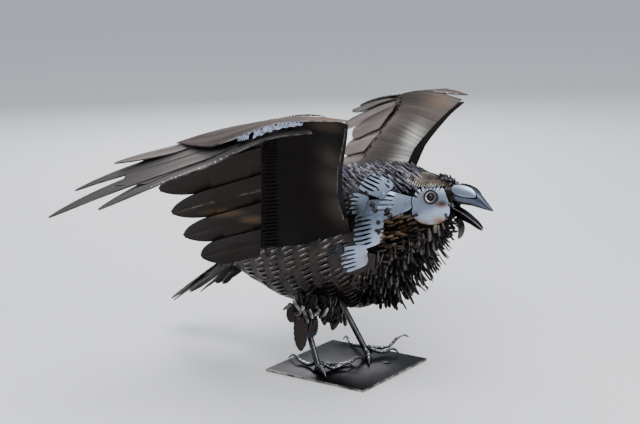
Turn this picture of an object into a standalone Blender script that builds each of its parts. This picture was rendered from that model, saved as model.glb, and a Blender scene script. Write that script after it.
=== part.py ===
"""A crow of forged and welded steel sheet, wings raised and beak open, on a square steel plate.

Run it with blender --background --python part.py, or from Blender's text editor. Metres, +Z up.
The origin is the middle of the plate's underside, the bird looks along +X and its left is +Y.
"""

import math

import bmesh
import bpy
from mathutils import Vector

# Driving dimensions, in metres.
BIRD_LENGTH = 0.400
PLATE_SIDE = 0.120
PLATE_THICKNESS = 0.0025
SHEET = 0.0012
FACE_SHEET = 0.0008
GAP = 0.0004
FACE_GAP = 0.0006
LEG_ROD = 0.0064
TOE_ROD = 0.0042
CLAW_TIP = 0.0012
EYE_RING = 0.0142
EYE_RIM = 0.0026
EYE_BALL = 0.0072
SECONDARY_WIDTH = 0.044
PRIMARY_WIDTH = 0.033
TAIL_WIDTH = 0.023
STRIP_WIDTH = 0.014
RUFF_STRIP = 0.021
BACK_STRIP = 0.0040
THIGH_STRIP = 0.012
LEAST_STRIP = 0.0008

# The figure keeps its pose in shares of its own length: a thousandth of the bird,
# as (forward, outward from the middle plane, up from the plate's top).
SHARE = BIRD_LENGTH / 1000

# The skin's sections: forward, middle height, half height, half width.
BODY = (
    (-350, 242, 20, 20),
    (-315, 244, 38, 38),
    (-255, 256, 70, 60),
    (-180, 272, 108, 82),
    (-100, 298, 142, 98),
    (-20, 322, 162, 107),
    (55, 344, 172, 108),
    (120, 364, 160, 102),
    (180, 384, 144, 88),
    (225, 406, 117, 70),
    (258, 428, 90, 52),
    (285, 444, 69, 43),
    (305, 458, 49, 35),
    (318, 472, 34, 26),
)
BODY_RINGS = 29
BODY_SIDES = 38

# Where the skin carries strips: along its length, and the bare flank under a wing.
STRIPS_FROM = -300
STRIPS_TO = 300
CROWN_FROM = (218, 392)
WING_SEAT = (-215, 128)
WING_SEAT_OUT = 0.4
SEAT_LEVEL = -0.06
LEG_SEAT = (-180, 10, 240)
LEG_SEAT_OUT = 0.2
SEAT_FADE = 0.15

# The ruff hangs from the throat and breast, below a level of the flank: it grows
# downwards and forwards, is shorter again under the chin, and is ragged.
RUFF_FROM = 120
RUFF_LEVEL = 0.15
RUFF_LEAST = 0.3
RUFF_GROWTH = 1.3
RUFF_RISE = (90, 160)
RUFF_FADE = (240, 360)
RUFF_SHORTEST = 0.5
RUFF_RAGGED = (0.24, 0.9, 0.35)
RUFF_OUT = 0.35
RUFF_LEAN = (0.12, 0, -1.0)
BACK_OUT = 0.8
BACK_LEAN = (-0.9, 0, -0.3)

# The upper and lower beak in the same form, drooping to the tip, and the strip below them.
BEAK_UPPER = (
    (319.3, 478, 27, 19),
    (345, 477, 26, 18),
    (368, 474, 23, 15),
    (388, 466, 17, 11),
    (405, 457, 9, 7),
    (419, 450, 2, 2),
)
BEAK_LOWER = (
    (319.3, 438, 12, 15),
    (340, 430, 12, 14),
    (360, 421, 10, 12),
    (378, 411, 8, 9),
    (391, 403, 4, 4),
)
BEAK_RINGS = 7
BEAK_SIDES = 10
THROAT_STRIP = ((323, 423.5, 11), (332, 409, 14), (335, 395, 14), (333, 382, 11), (329, 373, 6))
THROAT_GRID = (5, 1)

# On the side of the head: the middle and half size of each plate, and the eye's middle.
FACE_PLATE = ((273, 456), (42, 46))
NOSTRIL_PLATE = ((356, 479), (30, 13))
FACE_GRID = (6, 6)
NOSTRIL_GRID = (6, 4)
EYE_PLACE = (276, 474)

# The eye's outline as shares of the radius and the rim: first its ring, then its ball.
EYE_RING_OUTLINE = ((0, 0), (1, 0), (1, 0.5), (0.86, 0.8), (0.72, 0.8))
EYE_BALL_OUTLINE = ((1.12, 0.45), (1, 0.7), (0.75, 1.25), (0.35, 1.6), (0, 1.68))
EYE_SIDES = 16

# The raised arm of a wing: its front edge, rear edge and crest.
ARM_FRONT = (
    (91, 114, 382),
    (86, 122, 430),
    (83, 133, 472),
    (98, 155, 535),
    (114, 172, 568),
    (152, 214, 625),
    (187, 258, 669),
)
ARM_REAR = (
    (-186, 112, 306),
    (-139, 165, 394),
    (-101, 210, 481),
    (-62, 257, 566),
    (-31, 292, 622),
    (-26, 292, 660),
)
CREST_BOW = ((109, 258, 684), (58, 266, 683), (10, 278, 674))
ROOT_BOW = ((30, 110, 352), (-60, 110, 330), (-130, 104, 316))
ARM_COLUMNS = 5
ARM_ROWS = 8
STRIP_SETBACK = (11, 36, 0)
STRIP_TOP = 0.97
STRIP_ENDS = 0.55
STRIP_WIDEST = 0.43

# A feather's outline: how it rounds off to its tip, and how its rows crowd there.
TIP_ROUNDING = 2.2
TIP_TAPER = 0.62
ROW_CROWDING = 1.3

# The long feathers behind the arm, from the body up to the crest: root and tip.
SECONDARY_ROOTS = ((-190, 108, 290), (-172, 128, 326), (-134, 171, 404), (-101, 211, 483),
                   (-66, 253, 560), (-36, 286, 620), (-10, 312, 690))
SECONDARY_TIPS = ((-312, 168, 235), (-310, 200, 284), (-305, 270, 353), (-284, 336, 427),
                  (-263, 400, 497), (-258, 430, 534), (-250, 480, 600))
SECONDARY_START = 0.012
SECONDARY_ENDS = (0.86, 0.14)
SECONDARY_GRID = (7, 2)
SECONDARY_TILT = 0.085
SECONDARY_CAMBER = 3
CAMBER_RATE = 1.1
CAMBER_END = 0.9
LAST_SECONDARY_UPPER = 0.4
LAST_SECONDARY_LAYER = 5

# The hand folds over the crest and droops with the square of its reach. Behind the
# wrist it is cupped: its outer side rises, most of all halfway along the cup.
WRIST = (190, 255)
HAND_TOP = 677
HAND_HEADING = math.radians(41.3)
HAND_SAG = 0.00044
HAND_DROOP = 0.10
DROOP_START = -120
DROOP_REACH = 120
HAND_CUP = 25
CUP_WIDTH = 200
CUP_REACH = 330
CUP_BULGE = 1.5
HAND_LIFT = 3
HAND_GRID = (10, 4)
PRIMARY_TOP = 2
PRIMARY_LAYER = 6
PRIMARY_ENDS = (0.5, 0.12)
PRIMARY_GRID = (10, 2)
HAND_EDGE = ((186, 266), (120, 266), (58, 275), (-16, 291), (-62, 305), (-117, 328), (-169, 358), (-215, 388))
HAND_LEAD = ((197, 272), (156, 303), (115, 331), (77, 366), (38, 411), (0, 440), (-60, 450), (-150, 425))
PRIMARIES = (
    ((126, 318), (-75, 508), (-214, 655)),
    ((66, 332), (-140, 505), (-372, 655)),
    ((6, 325), (-180, 452), (-390, 550)),
    ((-54, 320), (-185, 412), (-305, 505)),
)
PRIMARY_LIFTS = (2, 16, 16, 27)
LIFT_FROM = 0.5
LIFT_CURVE = 1.3

# The tail slopes back from the rump: where its rows start, how high, and the angle,
# length and slope of each feather from the middle outwards.
TAIL_ROOT = -351
TAIL_ROOF = 0.0040
TAIL_ROWS = (
    ("top", 260, ((0, 244, 0.71), (9.5, 208, 0.71))),
    ("under", 236, ((19, 112, 0.84), (34, 46, 1.15))),
)
TAIL_LAYER = 1.4
TAIL_ENDS = (0.5, 0.2)
TAIL_GRID = (6, 2)

# The feet: each toe's middle line as (forward, left, height of its underside).
RIGHT_TOES = {
    "back": ((-39.5, -87.5, 12), (-64, -79, 1), (-97, -69, 2), (-116, -62, 10), (-132, -57, 12), (-150, -51, 0)),
    "inner": ((-24, -77.5, 12), (-10, -50, 4), (1, -30, 0), (12, -7, 2), (20, 12, 10), (26, 26, 9), (30, 36, 0)),
    "middle": ((-13.5, -85.5, 14), (0, -72, 2), (7, -58, 1), (15, -42, 6), (23, -28, 9), (30, -16, 0)),
    "outer": ((-19.5, -101, 12), (-6, -111, 14), (8, -117, 11), (18, -121, 0)),
}
LEFT_TOES = {
    "back": ((-3, 90, 12), (-28, 104, 9), (-62, 124, 1), (-88, 140, 2), (-106, 152, 12), (-124, 163, 0)),
    "inner": ((11.5, 68, 14), (28, 58, 10), (40, 42, 5), (48, 30, 8), (56, 19, 0)),
    "middle": ((18.5, 81.5, 15), (38, 92, 8), (48, 106, 6), (57, 120, 13), (64, 131, 10), (69, 140, 0)),
    "outer": ((12, 91, 16), (28, 118, 10), (42, 142, 14), (52, 160, 30), (62, 176, 38), (70, 188, 32)),
}
RIGHT_LEG = ((-23, -92, 6), (-62, -81, 96))
LEFT_LEG = ((10, 82, 6), (-44, 65, 112))
LEG_TOP = 0.0009
LEG_SIDES = 12
TOE_SIDES = 6
TOE_STEPS = 2
TOE_TAPER = 2.2

# The thighs hang from the belly: forward, left, up, half length and half width.
RIGHT_THIGH = ((-62, -98, 214, 42, 15), (-60, -101, 176, 42, 14), (-56, -105, 138, 38, 12),
               (-60, -106, 100, 19, 9), (-64, -105, 72, 5, 4))
LEFT_THIGH = ((-126, 68, 196, 42, 13), (-124, 70, 150, 44, 12), (-118, 72, 112, 42, 10),
              (-106, 72, 88, 32, 7), (-86, 71, 60, 14, 3))
THIGH_SIDES = 8
THIGH_OUT = 0.5
THIGH_INNER = -0.3

# Colours and finishes: blackened steel, worn and tempered in places.
BLACK_STEEL = ((0.030, 0.026, 0.025), 0.42, 0.9)
WING_STEEL = ((0.105, 0.090, 0.082), 0.45, 0.9)
BRIGHT_STEEL = ((0.300, 0.350, 0.400), 0.30, 0.95)
PLATE_STEEL = ((0.030, 0.031, 0.036), 0.38, 0.9)


def at(forward, outward, up):
    """A point of the figure, from shares of the bird's length."""
    return Vector((forward, outward, up)) * SHARE + Vector((0, 0, PLATE_THICKNESS))


def along(points, share):
    """The point at a share of the way through the points, on a smooth curve."""
    last = len(points) - 2
    place = share * (last + 1)
    start = min(max(math.floor(place), 0), last)
    step = place - start
    here, there = Vector(points[start]), Vector(points[start + 1])
    before = Vector(points[start - 1]) if start else 2 * here - there
    after = Vector(points[start + 2]) if start < last else 2 * there - here
    curve = 2 * here + (there - before) * step
    curve += (2 * before - 5 * here + 4 * there - after) * step ** 2
    return (curve + (3 * here - before - 3 * there + after) * step ** 3) / 2


def steel(name, finish):
    """A plain steel material from a colour, a roughness and a metallic value."""
    colour, roughness, metallic = finish
    material = bpy.data.materials.new(name)
    material.use_nodes = True
    shader = material.node_tree.nodes["Principled BSDF"]
    shader.inputs["Base Color"].default_value = (*colour, 1)
    shader.inputs["Roughness"].default_value = roughness
    shader.inputs["Metallic"].default_value = metallic
    return material


def add(name, data, finish):
    """An object of the sculpture, with its own material."""
    obj = bpy.data.objects.new(name, data)
    data.materials.append(steel(name, finish))
    bpy.data.collections["wrought_iron_crow"].objects.link(obj)
    return obj


def mirrored(point, side):
    """The point on the bird's left, or its mirror image on the right."""
    return Vector((point[0], point[1] * side, point[2]))


def finish_mesh(name, bm, finish, smooth=True):
    """Turns the built faces outwards and makes them an object."""
    bmesh.ops.recalc_face_normals(bm, faces=bm.faces)
    mesh = bpy.data.meshes.new(name)
    bm.to_mesh(mesh)
    bm.free()
    if smooth:
        mesh.shade_smooth()
        mesh.set_sharp_from_angle(angle=math.radians(40))
    return add(name, mesh, finish)


def sheet(name, place, grid, thickness, finish):
    """A steel sheet: a grid laid over place(u, v), then thickened both ways."""
    bm = bmesh.new()
    bmesh.ops.create_grid(bm, x_segments=grid[0], y_segments=grid[1], size=0.5)
    for vert in bm.verts:
        vert.co = place(vert.co.x + 0.5, vert.co.y + 0.5)
    obj = finish_mesh(name, bm, finish)
    wall = obj.modifiers.new("thickness", "SOLIDIFY")
    wall.thickness = thickness
    wall.offset = 0
    wall.use_even_offset = True
    return obj


def feather_width(share, ends):
    """How wide a feather is at a share of its length, of its full width halfway: drawn in at both ends."""
    root, tip = ends
    if share < 0.5:
        return root + (1 - root) * math.sin(share * math.pi)
    return max(tip, max(0.0, 1 - (2 * share - 1) ** TIP_ROUNDING) ** TIP_TAPER)


def toward_tip(share):
    """Spaces a feather's rows closer at its round tip."""
    return 1 - (1 - share) ** ROW_CROWDING


def rod(name, points, radii, sides, finish):
    """A round bar along the points, with a radius at each."""
    curve = bpy.data.curves.new(name, "CURVE")
    curve.dimensions = "3D"
    curve.bevel_depth = 1
    curve.bevel_resolution = sides // 2 - 2
    curve.use_fill_caps = True
    spline = curve.splines.new("POLY")
    spline.points.add(len(points) - 1)
    for slot, point, radius in zip(spline.points, points, radii):
        slot.co = (*point, 1)
        slot.radius = radius
    return add(name, curve, finish)


def section_at(sections, forward):
    """Middle height, half height and half width of a skin at a place along the bird."""
    last = len(sections) - 2
    start = 0
    while start < last and sections[start + 1][0] < forward:
        start += 1
    step = (forward - sections[start][0]) / (sections[start + 1][0] - sections[start][0])
    return along(sections, (start + step) / (last + 1))[1:]


def skin_out(sections, forward, up):
    """How far a skin reaches from the middle plane at a height, in shares."""
    middle, high, wide = section_at(sections, forward)
    return wide * math.sqrt(max(0.0, 1 - ((up - middle) / high) ** 2))


def belly_height(point):
    """How high the underside of the body is above a point beneath it."""
    forward, side = point.x / SHARE, point.y / SHARE
    middle, high, wide = section_at(BODY, forward)
    return at(0, 0, middle - high * math.sqrt(max(0.0, 1 - (side / wide) ** 2))).z


def loft(loops):
    """A closed skin through loops of points. Returns its mesh and its side faces, as quads."""
    bm = bmesh.new()
    rings = [[bm.verts.new(point) for point in loop] for loop in loops]
    quads = []
    for near, far in zip(rings, rings[1:]):
        for side in range(len(near)):
            after = (side + 1) % len(near)
            quads.append(bm.faces.new((near[side], near[after], far[after], far[side])))
    bm.faces.new(rings[0])
    bm.faces.new(list(reversed(rings[-1])))
    bmesh.ops.recalc_face_normals(bm, faces=bm.faces)
    return bm, quads


def skin(sections, rings, sides):
    """A closed skin through elliptic sections across the bird."""
    first, last = sections[0][0], sections[-1][0]
    loops = []
    for ring in range(rings):
        forward = first + (last - first) * ring / (rings - 1)
        middle, high, wide = section_at(sections, forward)
        angles = [2 * math.pi * (side + 0.5) / sides for side in range(sides)]
        loops.append([at(forward, wide * math.sin(angle), middle - high * math.cos(angle)) for angle in angles])
    return loft(loops)


def raise_strip(bm, quad, lean, length):
    """Draws a face out to a point: a cut strip of the skin, bent up along its lean."""
    centre = quad.calc_center_median()
    tip = bmesh.ops.poke(bm, faces=[quad])["verts"][0]
    tip.co = centre + lean.normalized() * length


def strip_share(forward, up, level, out):
    """How much of its length a strip keeps at a place: none at the skin's ends and on the crown.

    Strips fade towards the seat of a wing or leg, and there are none under it.
    """
    if not STRIPS_FROM < forward < STRIPS_TO or (forward > CROWN_FROM[0] and up > CROWN_FROM[1]):
        return 0.0
    if WING_SEAT[0] < forward < WING_SEAT[1] and level > SEAT_LEVEL:
        seat = WING_SEAT_OUT
    elif LEG_SEAT[0] < forward < LEG_SEAT[1] and up < LEG_SEAT[2]:
        seat = LEG_SEAT_OUT
    else:
        return 1.0
    return min(1.0, max(0.0, (seat - out) / SEAT_FADE))


def ruff_length(forward, side, level):
    """How long a hanging strip of the ruff is at a place on the throat or breast."""
    grown = min(1.0, RUFF_LEAST + RUFF_GROWTH * (RUFF_LEVEL - level))
    grown *= min(1.0, (forward - RUFF_RISE[0]) / (RUFF_RISE[1] - RUFF_RISE[0]))
    grown *= max(RUFF_SHORTEST, 1 - max(0.0, forward - RUFF_FADE[0]) / (RUFF_FADE[1] - RUFF_FADE[0]))
    swing, along_bird, around_bird = RUFF_RAGGED
    return RUFF_STRIP * grown * (1 - swing / 2 + swing * math.sin(along_bird * forward + around_bird * side))


def hackle(centre, normal):
    """Lean and length of the strip that stands on the skin at a place."""
    forward, side, up = (centre - Vector((0, 0, PLATE_THICKNESS))) / SHARE
    middle, high, wide = section_at(BODY, forward)
    level = (up - middle) / high
    kept = strip_share(forward, up, level, abs(side) / wide)
    if forward > RUFF_FROM and level < RUFF_LEVEL:
        return normal * RUFF_OUT * (1 - level) + Vector(RUFF_LEAN), kept * ruff_length(forward, side, level)
    return normal * BACK_OUT + Vector(BACK_LEAN), kept * BACK_STRIP


def make_body():
    """The body, neck and head skin, with its cut strips standing on it row by row."""
    bm, quads = skin(BODY, BODY_RINGS, BODY_SIDES)
    for quad in quads:
        lean, length = hackle(quad.calc_center_median(), quad.normal)
        if length > LEAST_STRIP:
            raise_strip(bm, quad, lean, length)
    finish_mesh("body", bm, BLACK_STEEL)


def make_plate():
    """The square plate that the crow stands on."""
    bm = bmesh.new()
    bmesh.ops.create_cube(bm, size=1)
    for vert in bm.verts:
        vert.co = Vector((vert.co.x * PLATE_SIDE, vert.co.y * PLATE_SIDE, (vert.co.z + 0.5) * PLATE_THICKNESS))
    finish_mesh("base_plate", bm, PLATE_STEEL, smooth=False)


def make_wing(label, side):
    """One raised wing: arm sheet, front strip, secondaries, hand plate and primaries."""

    def root_line(u):
        points = (ARM_FRONT[0], *ROOT_BOW, ARM_REAR[0])
        point = along(points, u)
        clear = (SHEET / 2 + GAP) / SHARE
        point.y = max(point.y, skin_out(BODY, point.x, point.z) + clear)
        return point

    def crest_line(u):
        return along((ARM_FRONT[-1], *CREST_BOW, ARM_REAR[-1]), u)

    def arm(u, v):
        """The sheet between the front edge, the rear edge, the body and the crest."""
        front, rear = along(ARM_FRONT, v), along(ARM_REAR, v)
        low, high = root_line(u), crest_line(u)
        across = front.lerp(rear, u) + low.lerp(high, v)
        corners = root_line(0).lerp(root_line(1), u).lerp(crest_line(0).lerp(crest_line(1), u), v)
        return mirrored(at(*(across - corners)), side)

    def strip(u, v):
        """The narrow plate that faces forward, set off the arm sheet's front edge."""
        high = min(STRIP_TOP, (1 + (ARM_ROWS - 1) * v) / ARM_ROWS)
        edge = along(ARM_FRONT, high)
        back = Vector(STRIP_SETBACK).normalized()
        full = math.sin(math.pi / 2 * min(2.0, high / STRIP_WIDEST))
        step = (SHEET / 2 + GAP + u * STRIP_WIDTH * (STRIP_ENDS + (1 - STRIP_ENDS) * full)) / SHARE
        return mirrored(at(*(edge + back * step)), side)

    def secondary(index):
        count = len(SECONDARY_ROOTS) - 1
        last = index == count - 1

        def surface(where, run):
            root, tip = along(SECONDARY_ROOTS, where / count), along(SECONDARY_TIPS, where / count)
            return root.lerp(tip, SECONDARY_START + (1 - SECONDARY_START) * run)

        def place(u, v):
            run = toward_tip(u)
            shift = (2 * v - 1) * SECONDARY_WIDTH / SHARE / 2 * feather_width(run, SECONDARY_ENDS)
            if last and shift > 0:
                shift *= LAST_SECONDARY_UPPER
            across = surface(index + 0.1, run) - surface(index - 0.1, run)
            inward = (surface(index, 1) - surface(index, 0)).cross(across).normalized()
            bowed = math.sin(math.pi * min(1, run * CAMBER_RATE) * CAMBER_END)
            camber = SECONDARY_CAMBER * (1 - (2 * v - 1) ** 2) * bowed
            point = surface(index, run) + across.normalized() * shift
            layer = LAST_SECONDARY_LAYER if last else 0
            return mirrored(at(*(point + inward * (shift * SECONDARY_TILT - camber - layer))), side)

        return place

    def on_hand(forward, outward, lift):
        """A point of the hand: level at the wrist, drooping outwards and to the tips."""
        turn, back, out = HAND_HEADING, WRIST[0] - forward, outward - WRIST[1]
        reach = back * math.cos(turn) + out * math.sin(turn)
        across = max(0.0, out * math.cos(turn) - back * math.sin(turn) - DROOP_START)
        droop = HAND_DROOP * across * min(1.0, max(0.0, reach) / DROOP_REACH)
        bow = math.sin(math.pi * min(1.0, max(0.0, reach) / CUP_REACH)) ** CUP_BULGE
        cup = HAND_CUP * bow * (1 - max(0.0, 1 - across / CUP_WIDTH) ** 2)
        return mirrored(at(forward, outward, HAND_TOP - HAND_SAG * reach ** 2 - droop + cup + lift), side)

    def hand(u, v):
        """The plate that caps the crest and the roots of the primaries."""
        flat = along(HAND_EDGE, u).lerp(along(HAND_LEAD, u), v)
        return on_hand(flat.x, flat.y, HAND_LIFT)

    def primary(index):
        layer = PRIMARY_TOP - PRIMARY_LAYER * (len(PRIMARIES) - index)
        spine = PRIMARIES[index]

        def place(u, v):
            run = toward_tip(u)
            ahead = along(spine, run + 0.01) - along(spine, run - 0.01)
            across = Vector((-ahead.y, ahead.x)).normalized()
            half = PRIMARY_WIDTH / SHARE / 2 * feather_width(run, PRIMARY_ENDS)
            flat = along(spine, run) + across * (2 * v - 1) * half
            risen = max(0.0, (run - LIFT_FROM) / (1 - LIFT_FROM)) ** LIFT_CURVE
            return on_hand(flat.x, flat.y, layer + PRIMARY_LIFTS[index] * risen)

        return place

    sheet(f"wing_{label}_arm_sheet", arm, (ARM_COLUMNS, ARM_ROWS), SHEET, WING_STEEL)
    sheet(f"wing_{label}_front_strip", strip, (1, ARM_ROWS - 1), SHEET, BLACK_STEEL)
    sheet(f"wing_{label}_hand_plate", hand, HAND_GRID, SHEET, WING_STEEL)
    for index in range(1, len(SECONDARY_ROOTS) - 1):
        sheet(f"wing_{label}_secondary_{index}", secondary(index), SECONDARY_GRID, SHEET, BLACK_STEEL)
    for index in range(len(PRIMARIES)):
        sheet(f"wing_{label}_primary_{index + 1}", primary(index), PRIMARY_GRID, SHEET, WING_STEEL)


def make_tail():
    """Long blades that slope back from the rump, over shorter and broader feathers."""

    def feather(high, turn, length, slope, layer):
        heading = Vector((-math.cos(turn), math.sin(turn)))
        across = Vector((heading.y, -heading.x))
        root_half = TAIL_WIDTH / SHARE / 2 * TAIL_ENDS[0]
        foot = (SHEET + GAP) / SHARE + root_half * abs(math.tan(turn))

        def place(u, v):
            run = toward_tip(u)
            half = TAIL_WIDTH / SHARE / 2 * feather_width(run, TAIL_ENDS)
            flat = Vector((TAIL_ROOT, 0)) + heading * (foot + run * (length - foot)) + across * (2 * v - 1) * half
            sunk = TAIL_ROOF * flat.y ** 2 + layer * math.hypot(1, slope)
            return at(flat.x, flat.y, high + (flat.x - TAIL_ROOT) * slope - sunk)

        return place

    pitch = TAIL_LAYER * (SHEET + GAP) / SHARE
    for row, high, feathers in TAIL_ROWS:
        for index, (turn, length, slope) in enumerate(feathers):
            for label, side in (("left", 1), ("right", -1)) if turn else (("middle", 0),):
                layer = pitch * (2 * index - (side > 0) + (row == "under"))
                place = feather(high, math.radians(turn) * side, length, slope, layer)
                sheet(f"tail_{row}_{label}_{index + 1}", place, TAIL_GRID, SHEET, WING_STEEL)


def make_leg(label, leg, toes, thigh):
    """A round bar up to the belly, its feathered thigh and the toes of its foot."""
    ankle, knee = at(*leg[0]), at(*leg[1])
    run = (knee - ankle).normalized()
    turns = [2 * math.pi * step / LEG_SIDES for step in range(LEG_SIDES)]
    rim = [Vector((math.cos(turn), math.sin(turn), 0)) * LEG_ROD / 2 for turn in turns]
    top = ankle
    while all(top.z + LEG_TOP < belly_height(top + edge) for edge in rim):
        top = top + run * SHARE
    rod(f"leg_{label}", (ankle, knee, top), (LEG_ROD / 2,) * 3, LEG_SIDES, BLACK_STEEL)
    make_thigh(f"thigh_{label}", thigh)
    for name, points in toes.items():
        make_toe(f"toe_{label}_{name}", points)


def make_toe(name, points):
    """A toe bent over the plate, tapering to its claw."""
    count = TOE_STEPS * len(points)
    path, radii = [], []
    for step in range(count):
        share = step / (count - 1)
        radius = CLAW_TIP / 2 + (TOE_ROD - CLAW_TIP) / 2 * (1 - share ** TOE_TAPER)
        forward, left, lift = along(points, share)
        path.append(at(forward, left, max(0, lift)) + Vector((0, 0, radius + GAP)))
        radii.append(radius)
    rod(name, path, radii, TOE_SIDES, BLACK_STEEL)


def make_thigh(name, sections):
    """A tuft under the belly, with leaf strips hanging off it all round."""
    loops = []
    for forward, left, up, long, wide in sections:
        loop = []
        for step in range(THIGH_SIDES):
            angle = 2 * math.pi * step / THIGH_SIDES
            point = at(forward + long * math.cos(angle), left + wide * math.sin(angle), up)
            point.z = min(point.z, belly_height(point) - LEG_TOP)
            loop.append(point)
        loops.append(loop)
    bm, quads = loft(loops)
    outward = math.copysign(1, sections[0][1])
    for quad in quads[THIGH_SIDES // 2:]:
        if quad.normal.y * outward > THIGH_INNER:
            raise_strip(bm, quad, quad.normal * THIGH_OUT + Vector((0, 0, -1)), THIGH_STRIP)
    finish_mesh(name, bm, BLACK_STEEL)


def on_skin(sections, forward, up, side, clear):
    """The point that stands clear of a skin's flank, and the skin's direction outwards there."""

    def point(a, b):
        return mirrored(at(a, skin_out(sections, a, b), b), side)

    normal = (point(forward + 1, up) - point(forward - 1, up)).cross(point(forward, up + 1) - point(forward, up - 1))
    if normal.y * side < 0:
        normal = -normal
    normal.normalize()
    return point(forward, up) + normal * clear, normal


def oval_on(sections, centre, reach, side):
    """A rounded plate over a skin's flank: the square grid is drawn in to an oval."""

    def place(u, v):
        a, b = 2 * u - 1, 2 * v - 1
        forward = centre[0] + reach[0] * a * math.sqrt(1 - b * b / 2)
        up = centre[1] + reach[1] * b * math.sqrt(1 - a * a / 2)
        return on_skin(sections, forward, up, side, FACE_SHEET / 2 + FACE_GAP)[0]

    return place


def throat_strip(u, v):
    """The blunt strip that hangs from the throat."""
    forward, up, half = along(THROAT_STRIP, u)
    return at(forward, (2 * v - 1) * half, up)


def make_head():
    """Both halves of the beak, the throat strip, the face and nostril plates and the eyes."""
    for name, sections, finish in (("beak_upper", BEAK_UPPER, BRIGHT_STEEL), ("beak_lower", BEAK_LOWER, BLACK_STEEL)):
        bm, _ = skin(sections, BEAK_RINGS, BEAK_SIDES)
        finish_mesh(name, bm, finish)
    sheet("throat_strip", throat_strip, THROAT_GRID, SHEET, BLACK_STEEL)
    for label, side in (("right", -1), ("left", 1)):
        face, nostril = oval_on(BODY, *FACE_PLATE, side), oval_on(BEAK_UPPER, *NOSTRIL_PLATE, side)
        sheet(f"face_plate_{label}", face, FACE_GRID, FACE_SHEET, BRIGHT_STEEL)
        sheet(f"nostril_plate_{label}", nostril, NOSTRIL_GRID, FACE_SHEET, BRIGHT_STEEL)
        make_eye(f"eye_{label}", side)


def make_eye(name, side):
    """A round bead in a raised ring, turned as one piece and set on the face plate."""
    foot, normal = on_skin(BODY, *EYE_PLACE, side, FACE_SHEET + 2 * FACE_GAP)
    outline = [(out * EYE_RING / 2, up * EYE_RIM) for out, up in EYE_RING_OUTLINE]
    outline += [(out * EYE_BALL / 2, up * EYE_RIM) for out, up in EYE_BALL_OUTLINE]
    bm = bmesh.new()
    verts = [bm.verts.new((radius, 0, height)) for radius, height in reversed(outline)]
    for start, end in zip(verts, verts[1:]):
        bm.edges.new((start, end))
    mesh = bpy.data.meshes.new(name)
    bm.to_mesh(mesh)
    bm.free()
    eye = add(name, mesh, BLACK_STEEL)
    eye.location = foot
    eye.rotation_euler = normal.to_track_quat("Z", "Y").to_euler()
    turn = eye.modifiers.new("turned", "SCREW")
    turn.steps = turn.render_steps = EYE_SIDES
    turn.use_merge_vertices = True
    turn.merge_threshold = 0.00001
    turn.use_smooth_shade = True


def main():
    for obj in list(bpy.data.objects):
        bpy.data.objects.remove(obj)
    sculpture = bpy.data.collections.new("wrought_iron_crow")
    bpy.context.scene.collection.children.link(sculpture)
    make_plate()
    make_body()
    make_head()
    make_wing("right", -1)
    make_wing("left", 1)
    make_tail()
    make_leg("right", RIGHT_LEG, RIGHT_TOES, RIGHT_THIGH)
    make_leg("left", LEFT_LEG, LEFT_TOES, LEFT_THIGH)


if __name__ == "__main__":
    main()
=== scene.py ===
"""The finish of a welded steel crow: cut and louvred sheet, hanging strips, weld beads and polished plates.

Metres, in the frame of the construction: the plate's underside centre is the origin, the bird looks
along +X and its left is +Y. The figure's own points are in shares, thousandths of its length.
"""

import math
import random
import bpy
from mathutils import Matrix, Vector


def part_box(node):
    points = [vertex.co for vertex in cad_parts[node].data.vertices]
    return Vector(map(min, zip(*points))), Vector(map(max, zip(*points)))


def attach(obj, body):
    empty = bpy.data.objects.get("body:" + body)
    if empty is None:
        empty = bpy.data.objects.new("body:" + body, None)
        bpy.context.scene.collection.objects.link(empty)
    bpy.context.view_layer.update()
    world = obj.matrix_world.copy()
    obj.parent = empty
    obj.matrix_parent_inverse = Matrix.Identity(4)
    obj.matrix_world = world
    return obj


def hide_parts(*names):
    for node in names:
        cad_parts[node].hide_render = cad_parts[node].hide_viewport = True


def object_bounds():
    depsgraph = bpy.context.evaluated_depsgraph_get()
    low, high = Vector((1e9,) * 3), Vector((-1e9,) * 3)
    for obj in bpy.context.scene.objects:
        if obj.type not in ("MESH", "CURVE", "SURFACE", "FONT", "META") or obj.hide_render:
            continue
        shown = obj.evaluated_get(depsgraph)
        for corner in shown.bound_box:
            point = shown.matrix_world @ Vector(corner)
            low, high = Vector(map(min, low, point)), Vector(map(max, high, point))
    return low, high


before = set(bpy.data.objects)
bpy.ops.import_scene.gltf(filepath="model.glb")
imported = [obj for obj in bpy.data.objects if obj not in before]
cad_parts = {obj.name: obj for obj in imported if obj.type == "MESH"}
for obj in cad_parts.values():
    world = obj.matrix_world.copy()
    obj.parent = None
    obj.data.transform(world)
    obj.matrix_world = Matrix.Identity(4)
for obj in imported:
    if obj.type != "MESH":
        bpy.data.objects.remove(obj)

from types import SimpleNamespace

import bmesh
import bpy
import numpy as np
from bpy.props import FloatProperty, FloatVectorProperty, IntProperty, PointerProperty
from mathutils import Matrix, Vector

bl_info = {
    "name": "Welded Steel Crow",
    "version": (1, 0, 0),
    "blender": (4, 5, 0),
    "location": "View3D > Sidebar > Crow",
    "description": "Builds the surfaces of a crow of cut and welded steel sheet",
    "category": "Add Mesh",
}

CAD_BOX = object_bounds()
BODY_NAME = "root"

# The figure, as in the construction.
BIRD_LENGTH = 0.400
PLATE_LOW, PLATE_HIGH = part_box("base_plate")
PLATE_THICKNESS = PLATE_HIGH.z
SHARE = BIRD_LENGTH / 1000
SHEET = 0.0012
FACE_SHEET = 0.0008
GAP = 0.0004
FACE_GAP = 0.0006
LEG_ROD = 0.0064
TOE_ROD = 0.0042
CLAW_TIP = 0.0012
EYE_RING = 0.0142
EYE_BALL = 0.0072
EYE_RIM = 0.0026
SECONDARY_WIDTH = 0.044
PRIMARY_WIDTH = 0.033
TAIL_WIDTH = 0.023
STRIP_WIDTH = 0.014
RUFF_STRIP = 0.021

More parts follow.
